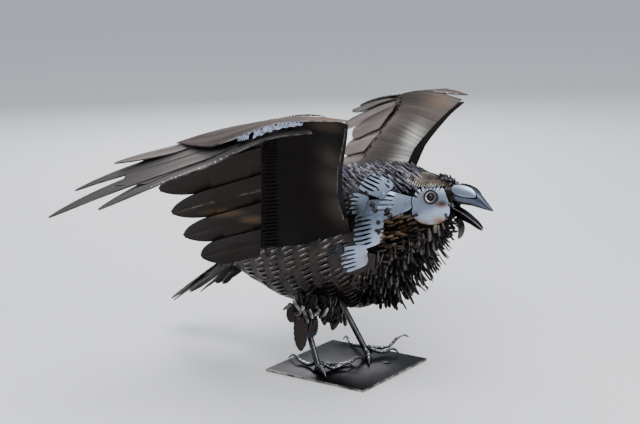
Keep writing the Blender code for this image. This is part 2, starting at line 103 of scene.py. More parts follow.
# The skin's sections: forward, middle height, half height, half width.
BODY = (
    (-350, 242, 20, 20), (-315, 244, 38, 38), (-255, 256, 70, 60), (-180, 272, 108, 82),
    (-100, 298, 142, 98), (-20, 322, 162, 107), (55, 344, 172, 108), (120, 364, 160, 102),
    (180, 384, 144, 88), (225, 406, 117, 70), (258, 428, 90, 52), (285, 444, 69, 43),
    (305, 458, 49, 35), (318, 472, 34, 26),
)
BEAK_UPPER = (
    (319.3, 478, 27, 19), (345, 477, 26, 18), (368, 474, 23, 15),
    (388, 466, 17, 11), (405, 457, 9, 7), (419, 450, 2, 2),
)
BEAK_LOWER = (
    (319.3, 438, 12, 15), (340, 430, 12, 14), (360, 421, 10, 12), (378, 411, 8, 9), (391, 403, 4, 4),
)
THROAT_STRIP = ((323, 423.5, 11), (332, 409, 14), (335, 395, 14), (333, 382, 11), (329, 373, 6))
FACE_PLATE = ((273, 456), (42, 46))
NOSTRIL_COVER = (349, math.radians(128), 31, math.radians(32))
EYE_PLACE = (276, 474)

# The raised arm of a wing.
ARM_FRONT = (
    (91, 114, 382), (86, 122, 430), (83, 133, 472), (98, 155, 535),
    (114, 172, 568), (152, 214, 625), (187, 258, 669),
)
ARM_REAR = (
    (-186, 112, 306), (-139, 165, 394), (-101, 210, 481),
    (-62, 257, 566), (-31, 292, 622), (-26, 292, 660),
)
CREST_BOW = ((109, 258, 684), (58, 266, 683), (10, 278, 674))
ROOT_BOW = ((30, 110, 352), (-60, 110, 330), (-130, 104, 316))
ARM_ROWS = 8
STRIP_SETBACK = (11, 36, 0)
STRIP_TOP = 0.97
STRIP_ENDS = 0.55
STRIP_WIDEST = 0.43

# The feathers behind the arm.
SECONDARY_ROOTS = (
    (-190, 108, 290), (-172, 128, 326), (-134, 171, 404), (-101, 211, 483),
    (-66, 253, 560), (-36, 286, 620), (-10, 312, 690),
)
SECONDARY_TIPS = (
    (-312, 168, 235), (-310, 200, 284), (-305, 270, 353), (-284, 336, 427),
    (-263, 400, 497), (-258, 430, 534), (-250, 480, 600),
)
SECONDARY_TILT = 0.085
SECONDARY_CAMBER = 3
LAST_SECONDARY_UPPER = 0.4
LAST_SECONDARY_LAYER = 5

# The hand, its cap and the primaries.
WRIST = (190, 255)
HAND_TOP = 677
HAND_HEADING = math.radians(41.3)
HAND_SAG = 0.00044
HAND_DROOP = 0.10
DROOP_START = -120
DROOP_REACH = 120
HAND_CUP = 25
CUP_WIDTH = 200
CUP_REACH = 330
PRIMARY_LAYER = 6
HAND_EDGE = ((186, 266), (120, 266), (58, 275), (-16, 291), (-62, 305), (-117, 328), (-169, 358), (-215, 388))
HAND_LEAD = ((197, 272), (156, 303), (115, 331), (77, 366), (38, 411), (0, 440), (-60, 450), (-150, 425))
PRIMARIES = (
    ((126, 318), (-75, 508), (-214, 655)),
    ((66, 332), (-140, 505), (-372, 655)),
    ((6, 325), (-180, 452), (-390, 550)),
    ((-54, 320), (-185, 412), (-305, 505)),
)
PRIMARY_LIFTS = (2, 16, 16, 27)
LIFT_FROM = 0.5

# The tail.
TAIL_ROOT = -351
TAIL_ROOF = 0.0040
TAIL_ROWS = (
    ("top", 260, ((0, 244, 0.71), (9.5, 208, 0.71))),
    ("under", 236, ((19, 112, 0.84), (34, 46, 1.15))),
)
TAIL_LAYER = 1.4

# The feet and legs.
RIGHT_TOES = {
    "back": (
        (-39.5, -87.5, 12), (-64, -79, 1), (-97, -69, 2), (-116, -62, 10), (-132, -57, 12), (-150, -51, 0),
    ),
    "inner": (
        (-24, -77.5, 12), (-10, -50, 4), (1, -30, 0), (12, -7, 2), (20, 12, 10), (26, 26, 9), (30, 36, 0),
    ),
    "middle": ((-13.5, -85.5, 14), (0, -72, 2), (7, -58, 1), (15, -42, 6), (23, -28, 9), (30, -16, 0)),
    "outer": ((-19.5, -101, 12), (-6, -111, 14), (8, -117, 11), (18, -121, 0)),
}
LEFT_TOES = {
    "back": ((-3, 90, 12), (-28, 104, 9), (-62, 124, 1), (-88, 140, 2), (-106, 152, 12), (-124, 163, 0)),
    "inner": ((11.5, 68, 14), (28, 58, 10), (40, 42, 5), (48, 30, 8), (56, 19, 0)),
    "middle": ((18.5, 81.5, 15), (38, 92, 8), (48, 106, 6), (57, 120, 13), (64, 131, 10), (69, 140, 0)),
    "outer": ((12, 91, 16), (28, 118, 10), (42, 142, 14), (52, 160, 30), (62, 176, 38), (70, 188, 32)),
}
LEGS = {"right": ((-23, -92, 6), (-62, -81, 96)), "left": ((10, 82, 6), (-44, 65, 112))}

# The shingled plates of the body: where their rows are, and each plate's size, in shares.
PLATE_ROWS = range(-318, 262, 56)
PLATE_LONG = 96
PLATE_WIDE = 62
PLATE_STRIPS = 6
PLATE_RISE = (1.0, 6.5)

# The hanging strips and the hackles: where their rows are, and how far apart the strips of a row are.
RUFF_ROWS = range(78, 316, 15)
RUFF_PITCH = 13
HACKLE_ROWS = range(14, 250, 16)
HACKLE_PITCH = 9

# Polished plates of the neck: place along the bird and turn from the keel in degrees, the heading
# of their cuts, length, width, number of strips, lift off the skin at both ends, each cut's reach,
# and how much narrower the front end is.
NECK_PLATES = (
    (150, 117, -2, 74, 40, 3, (4.0, 5.2), (), 0.1),
    (96, 123, -6, 62, 58, 5, (4.5, 5.7), ((-0.4, 0.60),), 0.3),
    (98, 76, 0, 70, 66, 6, (6.0, 7.2), ((-0.4, 0.56),), 0.15),
    (138, 98, 1, 74, 92, 8, (7.5, 8.7), ((-0.4, 0.62),), 0.1),
    (139, 140, -24, 88, 50, 5, (9.0, 10.2), ((-0.4, 0.62),), 0.1),
    (197, 117, -5, 80, 70, 6, (10.0, -0.6), ((-0.4, 0.42),), 0.45),
)
NECK_CUT = 0.24
NECK_LIP = 0.8
FLANK_PLATES = ((50, 86, 6, 44, 34, 4, (7.5, 9.5), ((-0.4, 0.6),), 0.2),)

# Sheet that only the finish has: cut plates and webs, and the linings behind other sheet. Points
# that are closer than the last number become one.
CUT_PLATE = 0.0008
LINING = 0.0006
MERGE = 0.00002

SIDES = (("right", -1), ("left", 1))

# The camera, at the photograph's place: eye, turn, tilt down, roll, and focal length on a 36 mm frame.
EYE = Vector((0.759, -1.1037, 0.4469))
CAMERA_TURN = math.radians(35.62)
CAMERA_TILT = math.radians(11.97)
CAMERA_ROLL = math.radians(-0.79)
CAMERA_LENS = 1356 / 640 * 36


class CrowSteel(bpy.types.PropertyGroup):
    """Colours of the steel."""

    black: FloatVectorProperty(name="Blackened steel", description="Oiled, fire-blackened sheet and bar",
                               subtype="COLOR", size=3, min=0, max=1, default=(0.014, 0.012, 0.012))
    brown: FloatVectorProperty(name="Brown scale", description="Where the blackening has browned",
                               subtype="COLOR", size=3, min=0, max=1, default=(0.045, 0.033, 0.027))
    wing: FloatVectorProperty(name="Wing top", description="Tempered sheet on the upper side of the wings",
                              subtype="COLOR", size=3, min=0, max=1, default=(0.100, 0.084, 0.075))
    # The undersides are this dark as painted shade.
    under: FloatVectorProperty(name="Wing underside", description="Sheet under the wings, darkened as painted shade",
                               subtype="COLOR", size=3, min=0, max=1, default=(0.0092, 0.0064, 0.0052))
    # The blue of the polished plates is partly a painted reflection of the sky.
    polished: FloatVectorProperty(name="Polished steel", description="Plates of the face and neck",
                                  subtype="COLOR", size=3, min=0, max=1, default=(0.36, 0.43, 0.55))
    bare: FloatVectorProperty(name="Bare edge", description="Cut edges, worn bright",
                              subtype="COLOR", size=3, min=0, max=1, default=(0.42, 0.40, 0.37))
    plate: FloatVectorProperty(name="Base plate", description="Top of the square plate",
                               subtype="COLOR", size=3, min=0, max=1, default=(0.013, 0.013, 0.017))


class CrowSizes(bpy.types.PropertyGroup):
    """Sizes of the cut work."""

    cut_gap: FloatProperty(name="Cut width", description="Share of a strip that a cut takes from it",
                           default=0.15, min=0, max=0.4, subtype="FACTOR")
    lip: FloatProperty(name="Lip", description="How far a louvre's edge is bent off the sheet",
                       default=0.0014, min=0, unit="LENGTH")
    strip_width: FloatProperty(name="Strip width", description="Width of a hanging strip",
                               default=0.0027, min=0.0005, unit="LENGTH")
    strip_sheet: FloatProperty(name="Strip thickness", description="Thickness of a hanging strip",
                               default=0.0007, min=0.0002, unit="LENGTH")
    comb_cuts: IntProperty(name="Comb cuts", description="Cuts along the rear of a wing's arm",
                           default=40, min=4)
    bead: FloatProperty(name="Weld bead", description="Size of a weld bead", default=0.0022, min=0.0005,
                        unit="LENGTH")


class CrowStudio(bpy.types.PropertyGroup):
    """The floor and the lights."""

    floor: FloatVectorProperty(name="Floor", description="Colour of the floor", subtype="COLOR", size=3,
                               min=0, max=1, default=(0.76, 0.76, 0.77))
    sky: FloatVectorProperty(name="Sky", description="Colour of the light all round", subtype="COLOR", size=3,
                             min=0, max=1, default=(0.80, 0.86, 0.95))
    sky_light: FloatProperty(name="Sky light", description="Strength of the light all round", default=0.85,
                             min=0)
    key: FloatProperty(name="Key light", description="Power of the large light above", default=32, min=0,
                       subtype="POWER")


def at(forward, outward, up):
    """A point of the figure, from shares of the bird's length."""
    return Vector((forward, outward, up)) * SHARE + Vector((0, 0, PLATE_THICKNESS))


def along(points, share):
    """The point at a share of the way through the points, on a smooth curve."""
    last = len(points) - 2
    place = share * (last + 1)
    start = min(max(math.floor(place), 0), last)
    step = place - start
    here, there = Vector(points[start]), Vector(points[start + 1])
    before = Vector(points[start - 1]) if start else 2 * here - there
    after = Vector(points[start + 2]) if start < last else 2 * there - here
    curve = 2 * here + (there - before) * step
    curve += (2 * before - 5 * here + 4 * there - after) * step ** 2
    return (curve + (3 * here - before - 3 * there + after) * step ** 3) / 2


def section_at(sections, forward):
    """Middle height, half height and half width of a skin at a place along the bird."""
    last = len(sections) - 2
    start = 0
    while start < last and sections[start + 1][0] < forward:
        start += 1
    step = (forward - sections[start][0]) / (sections[start + 1][0] - sections[start][0])
    return Vector(along(sections, (start + step) / (last + 1))[1:])


def skin_out(sections, forward, up):
    """How far a skin reaches from the middle plane at a height, in shares."""
    middle, high, wide = section_at(sections, forward)
    return wide * math.sqrt(max(0.0, 1 - ((up - middle) / high) ** 2))


PROFILE = [section_at(BODY, forward) for forward in range(BODY[0][0], BODY[-1][0] + 1)]


def profile(forward):
    """The body's section at a place along the bird, read from the table of whole shares."""
    place = min(max(forward - BODY[0][0], 0), len(PROFILE) - 1.001)
    start = int(place)
    return PROFILE[start].lerp(PROFILE[start + 1], place - start)


def on_body(forward, turn, lift):
    """The body's point at a place along it and a turn round it from the keel, and the direction outwards."""
    middle, high, wide = profile(forward)
    ahead = profile(forward + 1)
    sine, cosine = math.sin(turn), math.cos(turn)
    run = Vector((1, (ahead[2] - wide) * sine, ahead[0] - middle - (ahead[1] - high) * cosine))
    around = Vector((0, wide * cosine, high * sine))
    normal = around.cross(run).normalized()
    return at(*(Vector((forward, wide * sine, middle - high * cosine)) + normal * lift)), normal


def mirrored(point, side):
    """The point on the bird's left, or its mirror image on the right."""
    return Vector((point[0], point[1] * side, point[2]))


def feather_width(share, root, tip, widest=0.5):
    """How wide a feather is at a share of its length: wider to the middle, drawn in at the tip."""
    if share < widest:
        return root + (1 - root) * math.sin(share / widest * math.pi / 2)
    return max(tip, max(0.0, 1 - ((share - widest) / (1 - widest)) ** 2.2) ** 0.62)


def toward_tip(share):
    """Spaces a feather's rows closer at its round tip."""
    return 1 - (1 - share) ** 1.3


def evenly(count, start=0.0, end=1.0):
    """Shares from start to end, in so many steps."""
    return [start + (end - start) * step / count for step in range(count + 1)]


def turns(sides):
    """The angles of so many points evenly round a circle."""
    return [2 * math.pi * side / sides for side in range(sides)]


def signed_power(value, power):
    """The value raised to a power, with its sign kept."""
    return math.copysign(abs(value) ** power, value)


# Meshes.


def new_mesh():
    """An empty mesh under construction, with the layers that the finishes read."""
    bm = bmesh.new()
    bm.faces.layers.float.new("shade")
    bm.verts.layers.float.new("worn")
    bm.loops.layers.uv.new("UVMap")
    return bm


def face_on(bm, verts, tone, corners, material=0):
    """One face with its shade and its corners' places on the sheet."""
    face = bm.faces.new(verts)
    face[bm.faces.layers.float["shade"]] = tone
    face.material_index = material
    uv = bm.loops.layers.uv["UVMap"]
    for loop, corner in zip(face.loops, corners):
        loop[uv].uv = corner
    return face


def cut_sheet(bm, place, strips, stations, size, cuts=None, gap=0.0, lip=0.0, tone=None, rub=None):
    """Adds a sheet made of strips side by side, from place(run, across, lift), and gives the mesh back.

    The size is its length and width. cuts(edge, run) says how far the cut along an edge stands
    open, from 0 to 1. There the two strips' edges draw in by the gap, and the one rises off the
    sheet by the lip. The risen edge is marked worn, which paints it bright as wear and as a painted
    highlight, and so is what rub(run, across) says.
    """
    worn = bm.verts.layers.float["worn"]
    for strip in range(strips):
        rows = []
        for run in stations:
            near, far = (cuts(strip, run), cuts(strip + 1, run)) if cuts else (0, 0)
            edges = ((strip + gap * near) / strips, (strip + 1 - gap * far) / strips)
            verts = [bm.verts.new(place(run, edge, bend)) for edge, bend in zip(edges, (lip * near, 0))]
            # The risen edge's worn mark paints a highlight on it as well as wear.
            verts[0][worn] = near if lip else 0
            for vert, edge in zip(verts, edges):
                vert[worn] += rub(run, edge) if rub else 0
            rows.append((verts, [(run * size[0], edge * size[1]) for edge in edges]))
        shade = random.random() if tone is None else tone
        for (near, near_uv), (far, far_uv) in zip(rows, rows[1:]):
            corners = (near_uv[0], near_uv[1], far_uv[1], far_uv[0])
            face_on(bm, (near[0], near[1], far[1], far[0]), shade, corners)
    return bm


def bridge(bm, near, far, material=0, tone=0.0):
    """Faces from one ring of points to the next, where a ring may be a single point."""
    faces = []
    for side in range(max(len(near), len(far))):
        after = side + 1
        verts = (near[side % len(near)], near[after % len(near)], far[after % len(far)], far[side % len(far)])
        faces.append(face_on(bm, list(dict.fromkeys(verts)), tone, (), material))
    return faces


def close_ends(bm, loops):
    """Closes the first and the last ring, and turns every face outwards."""
    bm.faces.new(loops[0])
    bm.faces.new(list(reversed(loops[-1])))
    bmesh.ops.recalc_face_normals(bm, faces=bm.faces)


def open_cut(run, start, end):
    """How far a cut from start to end stands open at a place: it is round at both ends."""
    if not start < run < end:
        return 0.0
    return math.sqrt(1 - abs(2 * (run - start) / (end - start) - 1) ** 4)


def lifted(surface, towards=(0, 0, 1)):
    """The surface as place(run, across, lift), with the lift in shares along its normal, towards a side."""
    step = 0.01

    def place(run, across, lift=0.0):
        point = surface(run, across)
        if not lift:
            return point
        ahead = surface(run + step, across) - surface(run - step, across)
        aside = surface(run, across + step) - surface(run, across - step)
        normal = ahead.cross(aside).normalized()
        return point + normal * math.copysign(lift * SHARE, lift * normal.dot(Vector(towards)))

    return place


def linked(name, data):
    """An object of the scene with that name and data."""
    obj = bpy.data.objects.new(name, data)
    bpy.context.scene.collection.objects.link(obj)
    return obj


def put(name, bm, looks, facing=None):
    """Makes the mesh under construction an object, its faces turned towards a direction if there is one."""
    bmesh.ops.remove_doubles(bm, verts=bm.verts, dist=MERGE)
    if facing:
        bm.normal_update()
        total = sum((face.normal * face.calc_area() for face in bm.faces), Vector())
        if total.dot(Vector(facing)) < 0:
            bmesh.ops.reverse_faces(bm, faces=bm.faces)
    mesh = bpy.data.meshes.new(name)
    bm.to_mesh(mesh)
    bm.free()
    for look in looks:
        mesh.materials.append(finish(look))
    return linked(name, mesh)


def smooth(mesh, sharp):
    """Smooths a mesh's shading, but for edges sharper than an angle in degrees."""
    mesh.shade_smooth()
    mesh.set_sharp_from_angle(angle=math.radians(sharp))


def made_plain(obj, sharp=35):
    """Makes what the modifiers give the object's own mesh, with its creases sharp."""
    bpy.context.view_layer.update()
    graph = bpy.context.evaluated_depsgraph_get()
    evaluated = obj.evaluated_get(graph)
    mesh = bpy.data.meshes.new_from_object(evaluated, preserve_all_data_layers=True, depsgraph=graph)
    obj.modifiers.clear()
    old, obj.data = obj.data, mesh
    mesh.name = obj.name
    bpy.data.meshes.remove(old)
    smooth(mesh, sharp)
    return obj


def thicken(obj, thickness, offset):
    """Gives a sheet its thickness: its second material is the other side and its third the cut edge."""
    wall = obj.modifiers.new("Thickness", "SOLIDIFY")
    wall.thickness = thickness
    wall.offset = offset
    wall.use_even_offset = False
    wall.material_offset = 1
    wall.material_offset_rim = 2
    return made_plain(obj)


def points_of(mesh):
    """The places of a mesh's points, a row for each."""
    points = np.empty(len(mesh.vertices) * 3)
    mesh.vertices.foreach_get("co", points)
    return points.reshape(-1, 3)


def stain(obj, spots):
    """Writes how heat-tinted, darkened and ground-bright each point is. Some darkened spots are painted
    shade, and the ground-bright ones carry a painted reflection of the sky.

    The spots are on the left and mirrored to the right.
    """
    mesh = obj.data
    points = points_of(mesh)
    points[:, 1] = np.abs(points[:, 1])
    amounts = {name: np.zeros(len(points)) for name in ("tint", "soot", "ground")}
    for kind, centre, reach, strength in spots:
        away = (points - np.array(at(*centre))) / (np.array(reach) * SHARE)
        amounts[kind] = np.maximum(amounts[kind], strength * np.exp(-(away ** 2).sum(1)))
    for name, amount in amounts.items():
        values = mesh.attributes.get(name) or mesh.attributes.new(name, "FLOAT", "POINT")
        values.data.foreach_set("value", amount.astype(np.float32))
    return obj


def dress(obj, slot, *nodes):
    """Keeps a finished piece inside the solids' box, ties it to the figure and hides its solids. The slot is
    not used.
    """
    obj.data.vertices.foreach_set("co", np.clip(points_of(obj.data), *CAD_BOX).ravel())
    obj.data.update()
    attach(obj, BODY_NAME)
    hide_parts(*nodes)
    return obj


def sheet(name, bm, looks, facing, wall, spots, slot, *nodes, offset=0.0):
    """A finished piece of sheet, its looks those of its face, other side and cut edge.

    Without a direction to face, each of its faces looks away from the body.
    """
    obj = put(name, bm, looks, facing)
    if not facing:
        turn_outwards(obj)
    return dress(stain(thicken(obj, wall, offset), spots), slot, *nodes)


def closed(name, bm, looks, sharp, spots, slot, *nodes):
    """A finished closed piece, smooth but for edges sharper than an angle in degrees."""
    obj = put(name, bm, looks)
    smooth(obj.data, sharp)
    return dress(stain(obj, spots), slot, *nodes)


# Node trees.


def add(tree, kind, inputs=None, **settings):
    """A node with its settings, its inputs either values or other nodes' outputs."""
    node = tree.nodes.new(kind)
    for key, value in settings.items():
        setattr(node, key, value)
    for key, value in (inputs or {}).items():
        if isinstance(value, bpy.types.NodeSocket):
            tree.links.new(value, node.inputs[key])
        else:
            node.inputs[key].default_value = value
    return node


def calc(tree, operation, *values):
    """The result of a Math node."""
    return add(tree, "ShaderNodeMath", dict(enumerate(values)), operation=operation).outputs[0]


def times(tree, first, second):
    """The product of two values."""
    return calc(tree, "MULTIPLY", first, second)


def span(tree, value, low, high, start=0.0, end=1.0):
    """The value's place between low and high, as a number from start to end."""
    inputs = {"Value": value, "From Min": low, "From Max": high, "To Min": start, "To Max": end}
    return add(tree, "ShaderNodeMapRange", inputs).outputs["Result"]


def mixed(tree, factor, first, second):
    """Two colours mixed by a factor."""
    node = add(tree, "ShaderNodeMix", data_type="RGBA")
    for index, value in ((0, factor), (6, first), (7, second)):
        if isinstance(value, bpy.types.NodeSocket):
            tree.links.new(value, node.inputs[index])
        else:
            node.inputs[index].default_value = value
    return node.outputs[2]


def colour(values, lightness=1.0):
    """A colour as a socket takes it, made lighter or darker."""
    return (*(value * lightness for value in values), 1)


def group(name, inputs, outputs):
    """An empty shader group with its named sockets, its inputs' outputs and its outputs' inputs."""
    tree = bpy.data.node_groups.new(name, "ShaderNodeTree")
    for label, kind, default in inputs:
        socket = tree.interface.new_socket(label, in_out="INPUT", socket_type=kind)
        if default is not None:
            socket.default_value = default
    for label, kind in outputs:
        tree.interface.new_socket(label, in_out="OUTPUT", socket_type=kind)
    entry, leave = tree.nodes.new("NodeGroupInput"), tree.nodes.new("NodeGroupOutput")
    return tree, entry.outputs, leave.inputs


FLOAT, WHOLE = "NodeSocketFloat", "NodeSocketInt"
VECTOR, COLOUR = "NodeSocketVector", "NodeSocketColor"


def noise_on(tree, place, scale, detail, roughness=0.5):
    """The value of a Noise Texture at a place."""
    inputs = {"Vector": place, "Scale": scale, "Detail": detail, "Roughness": roughness}
    return add(tree, "ShaderNodeTexNoise", inputs).outputs["Fac"]


def patina_group():
    """Clouds of oil and scale, and fine specks."""
    tree, given, wanted = group("Oily patina", (("Vector", VECTOR, None), ("Scale", FLOAT, 60.0)),
                                (("Cloud", FLOAT), ("Speck", FLOAT)))
    clouds = noise_on(tree, given["Vector"], given["Scale"], 5.0, 0.6)
    specks = noise_on(tree, given["Vector"], times(tree, given["Scale"], 9.0), 3.0)
    tree.links.new(span(tree, clouds, 0.36, 0.66), wanted["Cloud"])
    tree.links.new(span(tree, specks, 0.55, 0.72), wanted["Speck"])
    return tree


def streaks_group():
    """Fine lines along a sheet, as a brush or a grinder leaves them."""
    tree, given, wanted = group("Brushed streaks",
                                (("Vector", VECTOR, None), ("Along", FLOAT, 12.0), ("Across", FLOAT, 500.0)),
                                (("Streak", FLOAT), ("Broad", FLOAT)))
    scale = add(tree, "ShaderNodeCombineXYZ",
                {"X": given["Along"], "Y": given["Across"], "Z": given["Across"]})
    placed = add(tree, "ShaderNodeVectorMath", {0: given["Vector"], 1: scale.outputs[0]},
                 operation="MULTIPLY").outputs[0]
    tree.links.new(span(tree, noise_on(tree, placed, 1.0, 4.0), 0.30, 0.70), wanted["Streak"])
    tree.links.new(span(tree, noise_on(tree, placed, 0.22, 2.0), 0.35, 0.65), wanted["Broad"])
    return tree


def heat_group():
    """Temper colours: straw, orange-brown, purple and blue as the heat rises."""
    tree, given, wanted = group("Heat tint", (("Vector", VECTOR, None), ("Heat", FLOAT, 0.0)),
                                (("Colour", COLOUR), ("Mask", FLOAT)))
    ripple = noise_on(tree, given["Vector"], 130.0, 3.0)
    swing = times(tree, calc(tree, "SUBTRACT", ripple, 0.5), 0.7)
    heat = calc(tree, "ADD", given["Heat"], times(tree, swing, given["Heat"]))
    ramp = add(tree, "ShaderNodeValToRGB", {"Fac": heat})
    stops = ((0.0, (0.34, 0.28, 0.19)), (0.35, (0.27, 0.135, 0.06)), (0.62, (0.13, 0.06, 0.05)),
             (0.85, (0.07, 0.05, 0.08)), (1.0, (0.04, 0.05, 0.09)))
    for index, (place, shade) in enumerate(stops):
        stop = ramp.color_ramp.elements[index] if index < 2 else ramp.color_ramp.elements.new(place)
        stop.position = place
        stop.color = colour(shade)
    tree.links.new(ramp.outputs["Color"], wanted["Colour"])
    tree.links.new(span(tree, heat, 0.06, 0.55), wanted["Mask"])
    return tree


def worn_and_highlight_group():
    """Where an edge or ridge is painted bright: wear and a painted highlight."""
    tree, given, wanted = group("Worn edge", (("Vector", VECTOR, None), ("Worn", FLOAT, 0.0)),
                                (("Mask", FLOAT),))
    rubs = span(tree, noise_on(tree, given["Vector"], 170.0, 3.0), 0.40, 0.62, 0.15, 1.0)
    tree.links.new(times(tree, calc(tree, "POWER", given["Worn"], 3.5), rubs), wanted["Mask"])
    return tree


EFFECTS = {
    "Oily patina": patina_group, "Brushed streaks": streaks_group, "Heat tint": heat_group,
    "Worn edge": worn_and_highlight_group,
}


def effect(tree, name, inputs):
    """The outputs of the shader group of that name, which is built the first time."""
    shared = bpy.data.node_groups.get(name) or EFFECTS[name]()
    return add(tree, "ShaderNodeGroup", inputs, node_tree=shared).outputs


def patina(tree, place, scale):
    """The clouds and specks of an oily patina."""
    return effect(tree, "Oily patina", {"Vector": place, "Scale": scale})


def streaks(tree, place, lengthwise, across):
    """The fine and broad streaks of a brushed sheet."""
    return effect(tree, "Brushed streaks", {"Vector": place, "Along": lengthwise, "Across": across})


def layer(tree, name):
    """The value of an attribute of the mesh."""
    return add(tree, "ShaderNodeAttribute", attribute_name=name).outputs["Fac"]


def heated(tree, place, shade, strength=1.0):
    """The shade with temper colours over it, where the mesh has been hot."""
    heat = effect(tree, "Heat tint", {"Vector": place, "Heat": layer(tree, "tint")})
    return mixed(tree, times(tree, heat["Mask"], strength), shade, heat["Colour"])


def rubbed_and_highlighted(tree, place, shade, bright):
    """The shade with bright steel where the mesh is marked worn: wear and painted highlights."""
    worn = effect(tree, "Worn edge", {"Vector": place, "Worn": layer(tree, "worn")})
    return mixed(tree, worn["Mask"], shade, bright)


def new_steel(name, metallic, coat=0.0):
    """A material with its shader, object coordinates and sheet coordinates."""
    material = bpy.data.materials.new(name)
    material.use_nodes = True
    tree = material.node_tree
    shader = tree.nodes["Principled BSDF"]
    shader.inputs["Metallic"].default_value = metallic
    shader.inputs["Coat Weight"].default_value = coat
    shader.inputs["Coat Roughness"].default_value = 0.12
    places = tree.nodes.new("ShaderNodeTexCoord").outputs
    return material, tree, shader.inputs, places["Object"], places["UV"]


def painted(tree, sockets, shade, marks, smoothest, roughest):
    """Gives a shader its colour, and its roughness from marks."""
    tree.links.new(shade, sockets["Base Color"])
    tree.links.new(span(tree, marks, 0, 1, smoothest, roughest), sockets["Roughness"])


def raise_grain(tree, sockets, height, strength, depth=0.0004):
    """Small relief of the surface from a height."""
    bump = add(tree, "ShaderNodeBump", {"Height": height, "Strength": strength, "Distance": depth})
    tree.links.new(bump.outputs["Normal"], sockets["Normal"])


def oiled_steel(name, base, worn, smoothest, roughest, scale=70.0, coat=0.2, grain=0.35,
                bare=(0.60, 0.59, 0.57), rim=0.6):
    """Blackened and oiled steel: clouds between two colours, a shade for each strip, and spots."""
    material, tree, sockets, place, _ = new_steel(name, 0.85, coat)
    sockets["Specular Tint"].default_value = colour((rim, rim, rim))
    marks = patina(tree, place, scale)
    tone = times(tree, layer(tree, "shade"), 0.55)
    mix = times(tree, calc(tree, "ADD", times(tree, marks["Cloud"], 0.6), tone), 0.85)
    shade = heated(tree, place, mixed(tree, mix, colour(base), colour(worn)))
    shade = mixed(tree, layer(tree, "soot"), shade, colour(base, 0.4))
    shade = rubbed_and_highlighted(tree, place, shade, colour(bare))
    painted(tree, sockets, shade, marks["Cloud"], smoothest, roughest)
    raise_grain(tree, sockets, calc(tree, "ADD", marks["Speck"], times(tree, marks["Cloud"], 2.0)), grain)
    return material


def polished_steel(name, base):
    """Polished sheet: pale blue-grey, its blue partly a painted reflection of the sky, faintly clouded, with
    temper colours and darkened spots at the rims.
    """
    material, tree, sockets, place, flat = new_steel(name, 0.9)
    marks = patina(tree, place, 55.0)
    lines = streaks(tree, flat, 30.0, 900.0)
    clouded = colour((base[0] * 0.74, base[1] * 0.76, base[2] * 0.82))
    shade = mixed(tree, times(tree, marks["Cloud"], 0.45), colour(base), clouded)
    shade = mixed(tree, times(tree, layer(tree, "shade"), 0.35), shade, colour(base, 0.62))
    shade = mixed(tree, times(tree, marks["Speck"], 0.2), shade, colour(base, 0.35))
    shade = heated(tree, place, shade)
    shade = mixed(tree, layer(tree, "soot"), shade, colour((0.012, 0.010, 0.010)))
    painted(tree, sockets, shade, marks["Cloud"], 0.24, 0.40)
    raise_grain(tree, sockets, lines["Streak"], 0.12, 0.0002)
    return material


def tempered_sheet(name, base, bright, gloss=0.4, metallic=0.35):
    """The wings' upper side: brown-grey, streaked along the feather, and ground bright in places, where a
    painted reflection of the sky lies on the ground steel.
    """
    material, tree, sockets, place, flat = new_steel(name, metallic)
    sockets["Specular IOR Level"].default_value = gloss
    sockets["Specular Tint"].default_value = colour((0.28, 0.26, 0.25))
    marks = patina(tree, place, 26.0)
    lines = streaks(tree, flat, 9.0, 420.0)
    shade = mixed(tree, times(tree, marks["Cloud"], 0.5), colour(base), colour(base, 0.72))
    shade = mixed(tree, times(tree, lines["Broad"], 0.70), shade, colour(base, 0.38))
    shade = mixed(tree, times(tree, lines["Streak"], 0.50), shade, colour(base, 1.8))
    shade = heated(tree, place, shade, 0.6)
    ground = times(tree, layer(tree, "ground"), span(tree, lines["Streak"], 0.35, 0.70, 0.5, 1.0))
    shade = mixed(tree, ground, shade, colour(bright))
    shade = mixed(tree, layer(tree, "soot"), shade, colour((0.018, 0.015, 0.014)))
    shade = rubbed_and_highlighted(tree, place, shade, colour(bright))
    painted(tree, sockets, shade, lines["Broad"], 0.34, 0.52)
    raise_grain(tree, sockets, lines["Streak"], 0.25, 0.0003)
    return material


def shaded_underside_sheet(name, base, gloss=0.14):
    """The wings' underside: matt brown-black as painted shade, with faint marks along the feather."""
    material, tree, sockets, place, flat = new_steel(name, 0.0)
    sockets["Specular IOR Level"].default_value = gloss
    marks = patina(tree, place, 30.0)
    lines = streaks(tree, flat, 8.0, 260.0)
    shade = mixed(tree, times(tree, marks["Cloud"], 0.5), colour(base), colour(base, 1.7))
    shade = mixed(tree, times(tree, lines["Broad"], 0.45), shade, colour(base, 2.3))
    shade = heated(tree, place, shade, 0.35)
    shade = mixed(tree, layer(tree, "ground"), shade, colour((0.07, 0.055, 0.048)))
    shade = rubbed_and_highlighted(tree, place, shade, colour((0.20, 0.165, 0.14)))
    painted(tree, sockets, shade, marks["Cloud"], 0.38, 0.58)
    raise_grain(tree, sockets, marks["Cloud"], 0.15, 0.0005)
    return material


def bare_edge(name, base, low=0.12):
    """A cut edge, worn bright in places and dark in others."""
    material, tree, sockets, place, _ = new_steel(name, 0.9)
    marks = patina(tree, place, 110.0)
    painted(tree, sockets, mixed(tree, marks["Cloud"], colour(base, low), colour(base)), marks["Cloud"],
            0.45, 0.28)
    raise_grain(tree, sockets, marks["Speck"], 0.2)
    return material


def beaded_steel(name, base, smoothest):
    """The polished black bead of an eye, barely marked."""
    material, tree, sockets, place, _ = new_steel(name, 0.0)
    sockets["Specular IOR Level"].default_value = 0.30
    marks = patina(tree, place, 240.0)
    shade = mixed(tree, times(tree, marks["Speck"], 0.5), colour(base), colour(base, 3.0))
    painted(tree, sockets, shade, marks["Cloud"], smoothest, smoothest + 0.12)
    return material


def share_of(settings, name, times_as_light):
    """One of the crow's own colours, made lighter or darker."""
    return colour(getattr(settings, name), times_as_light)[:3]
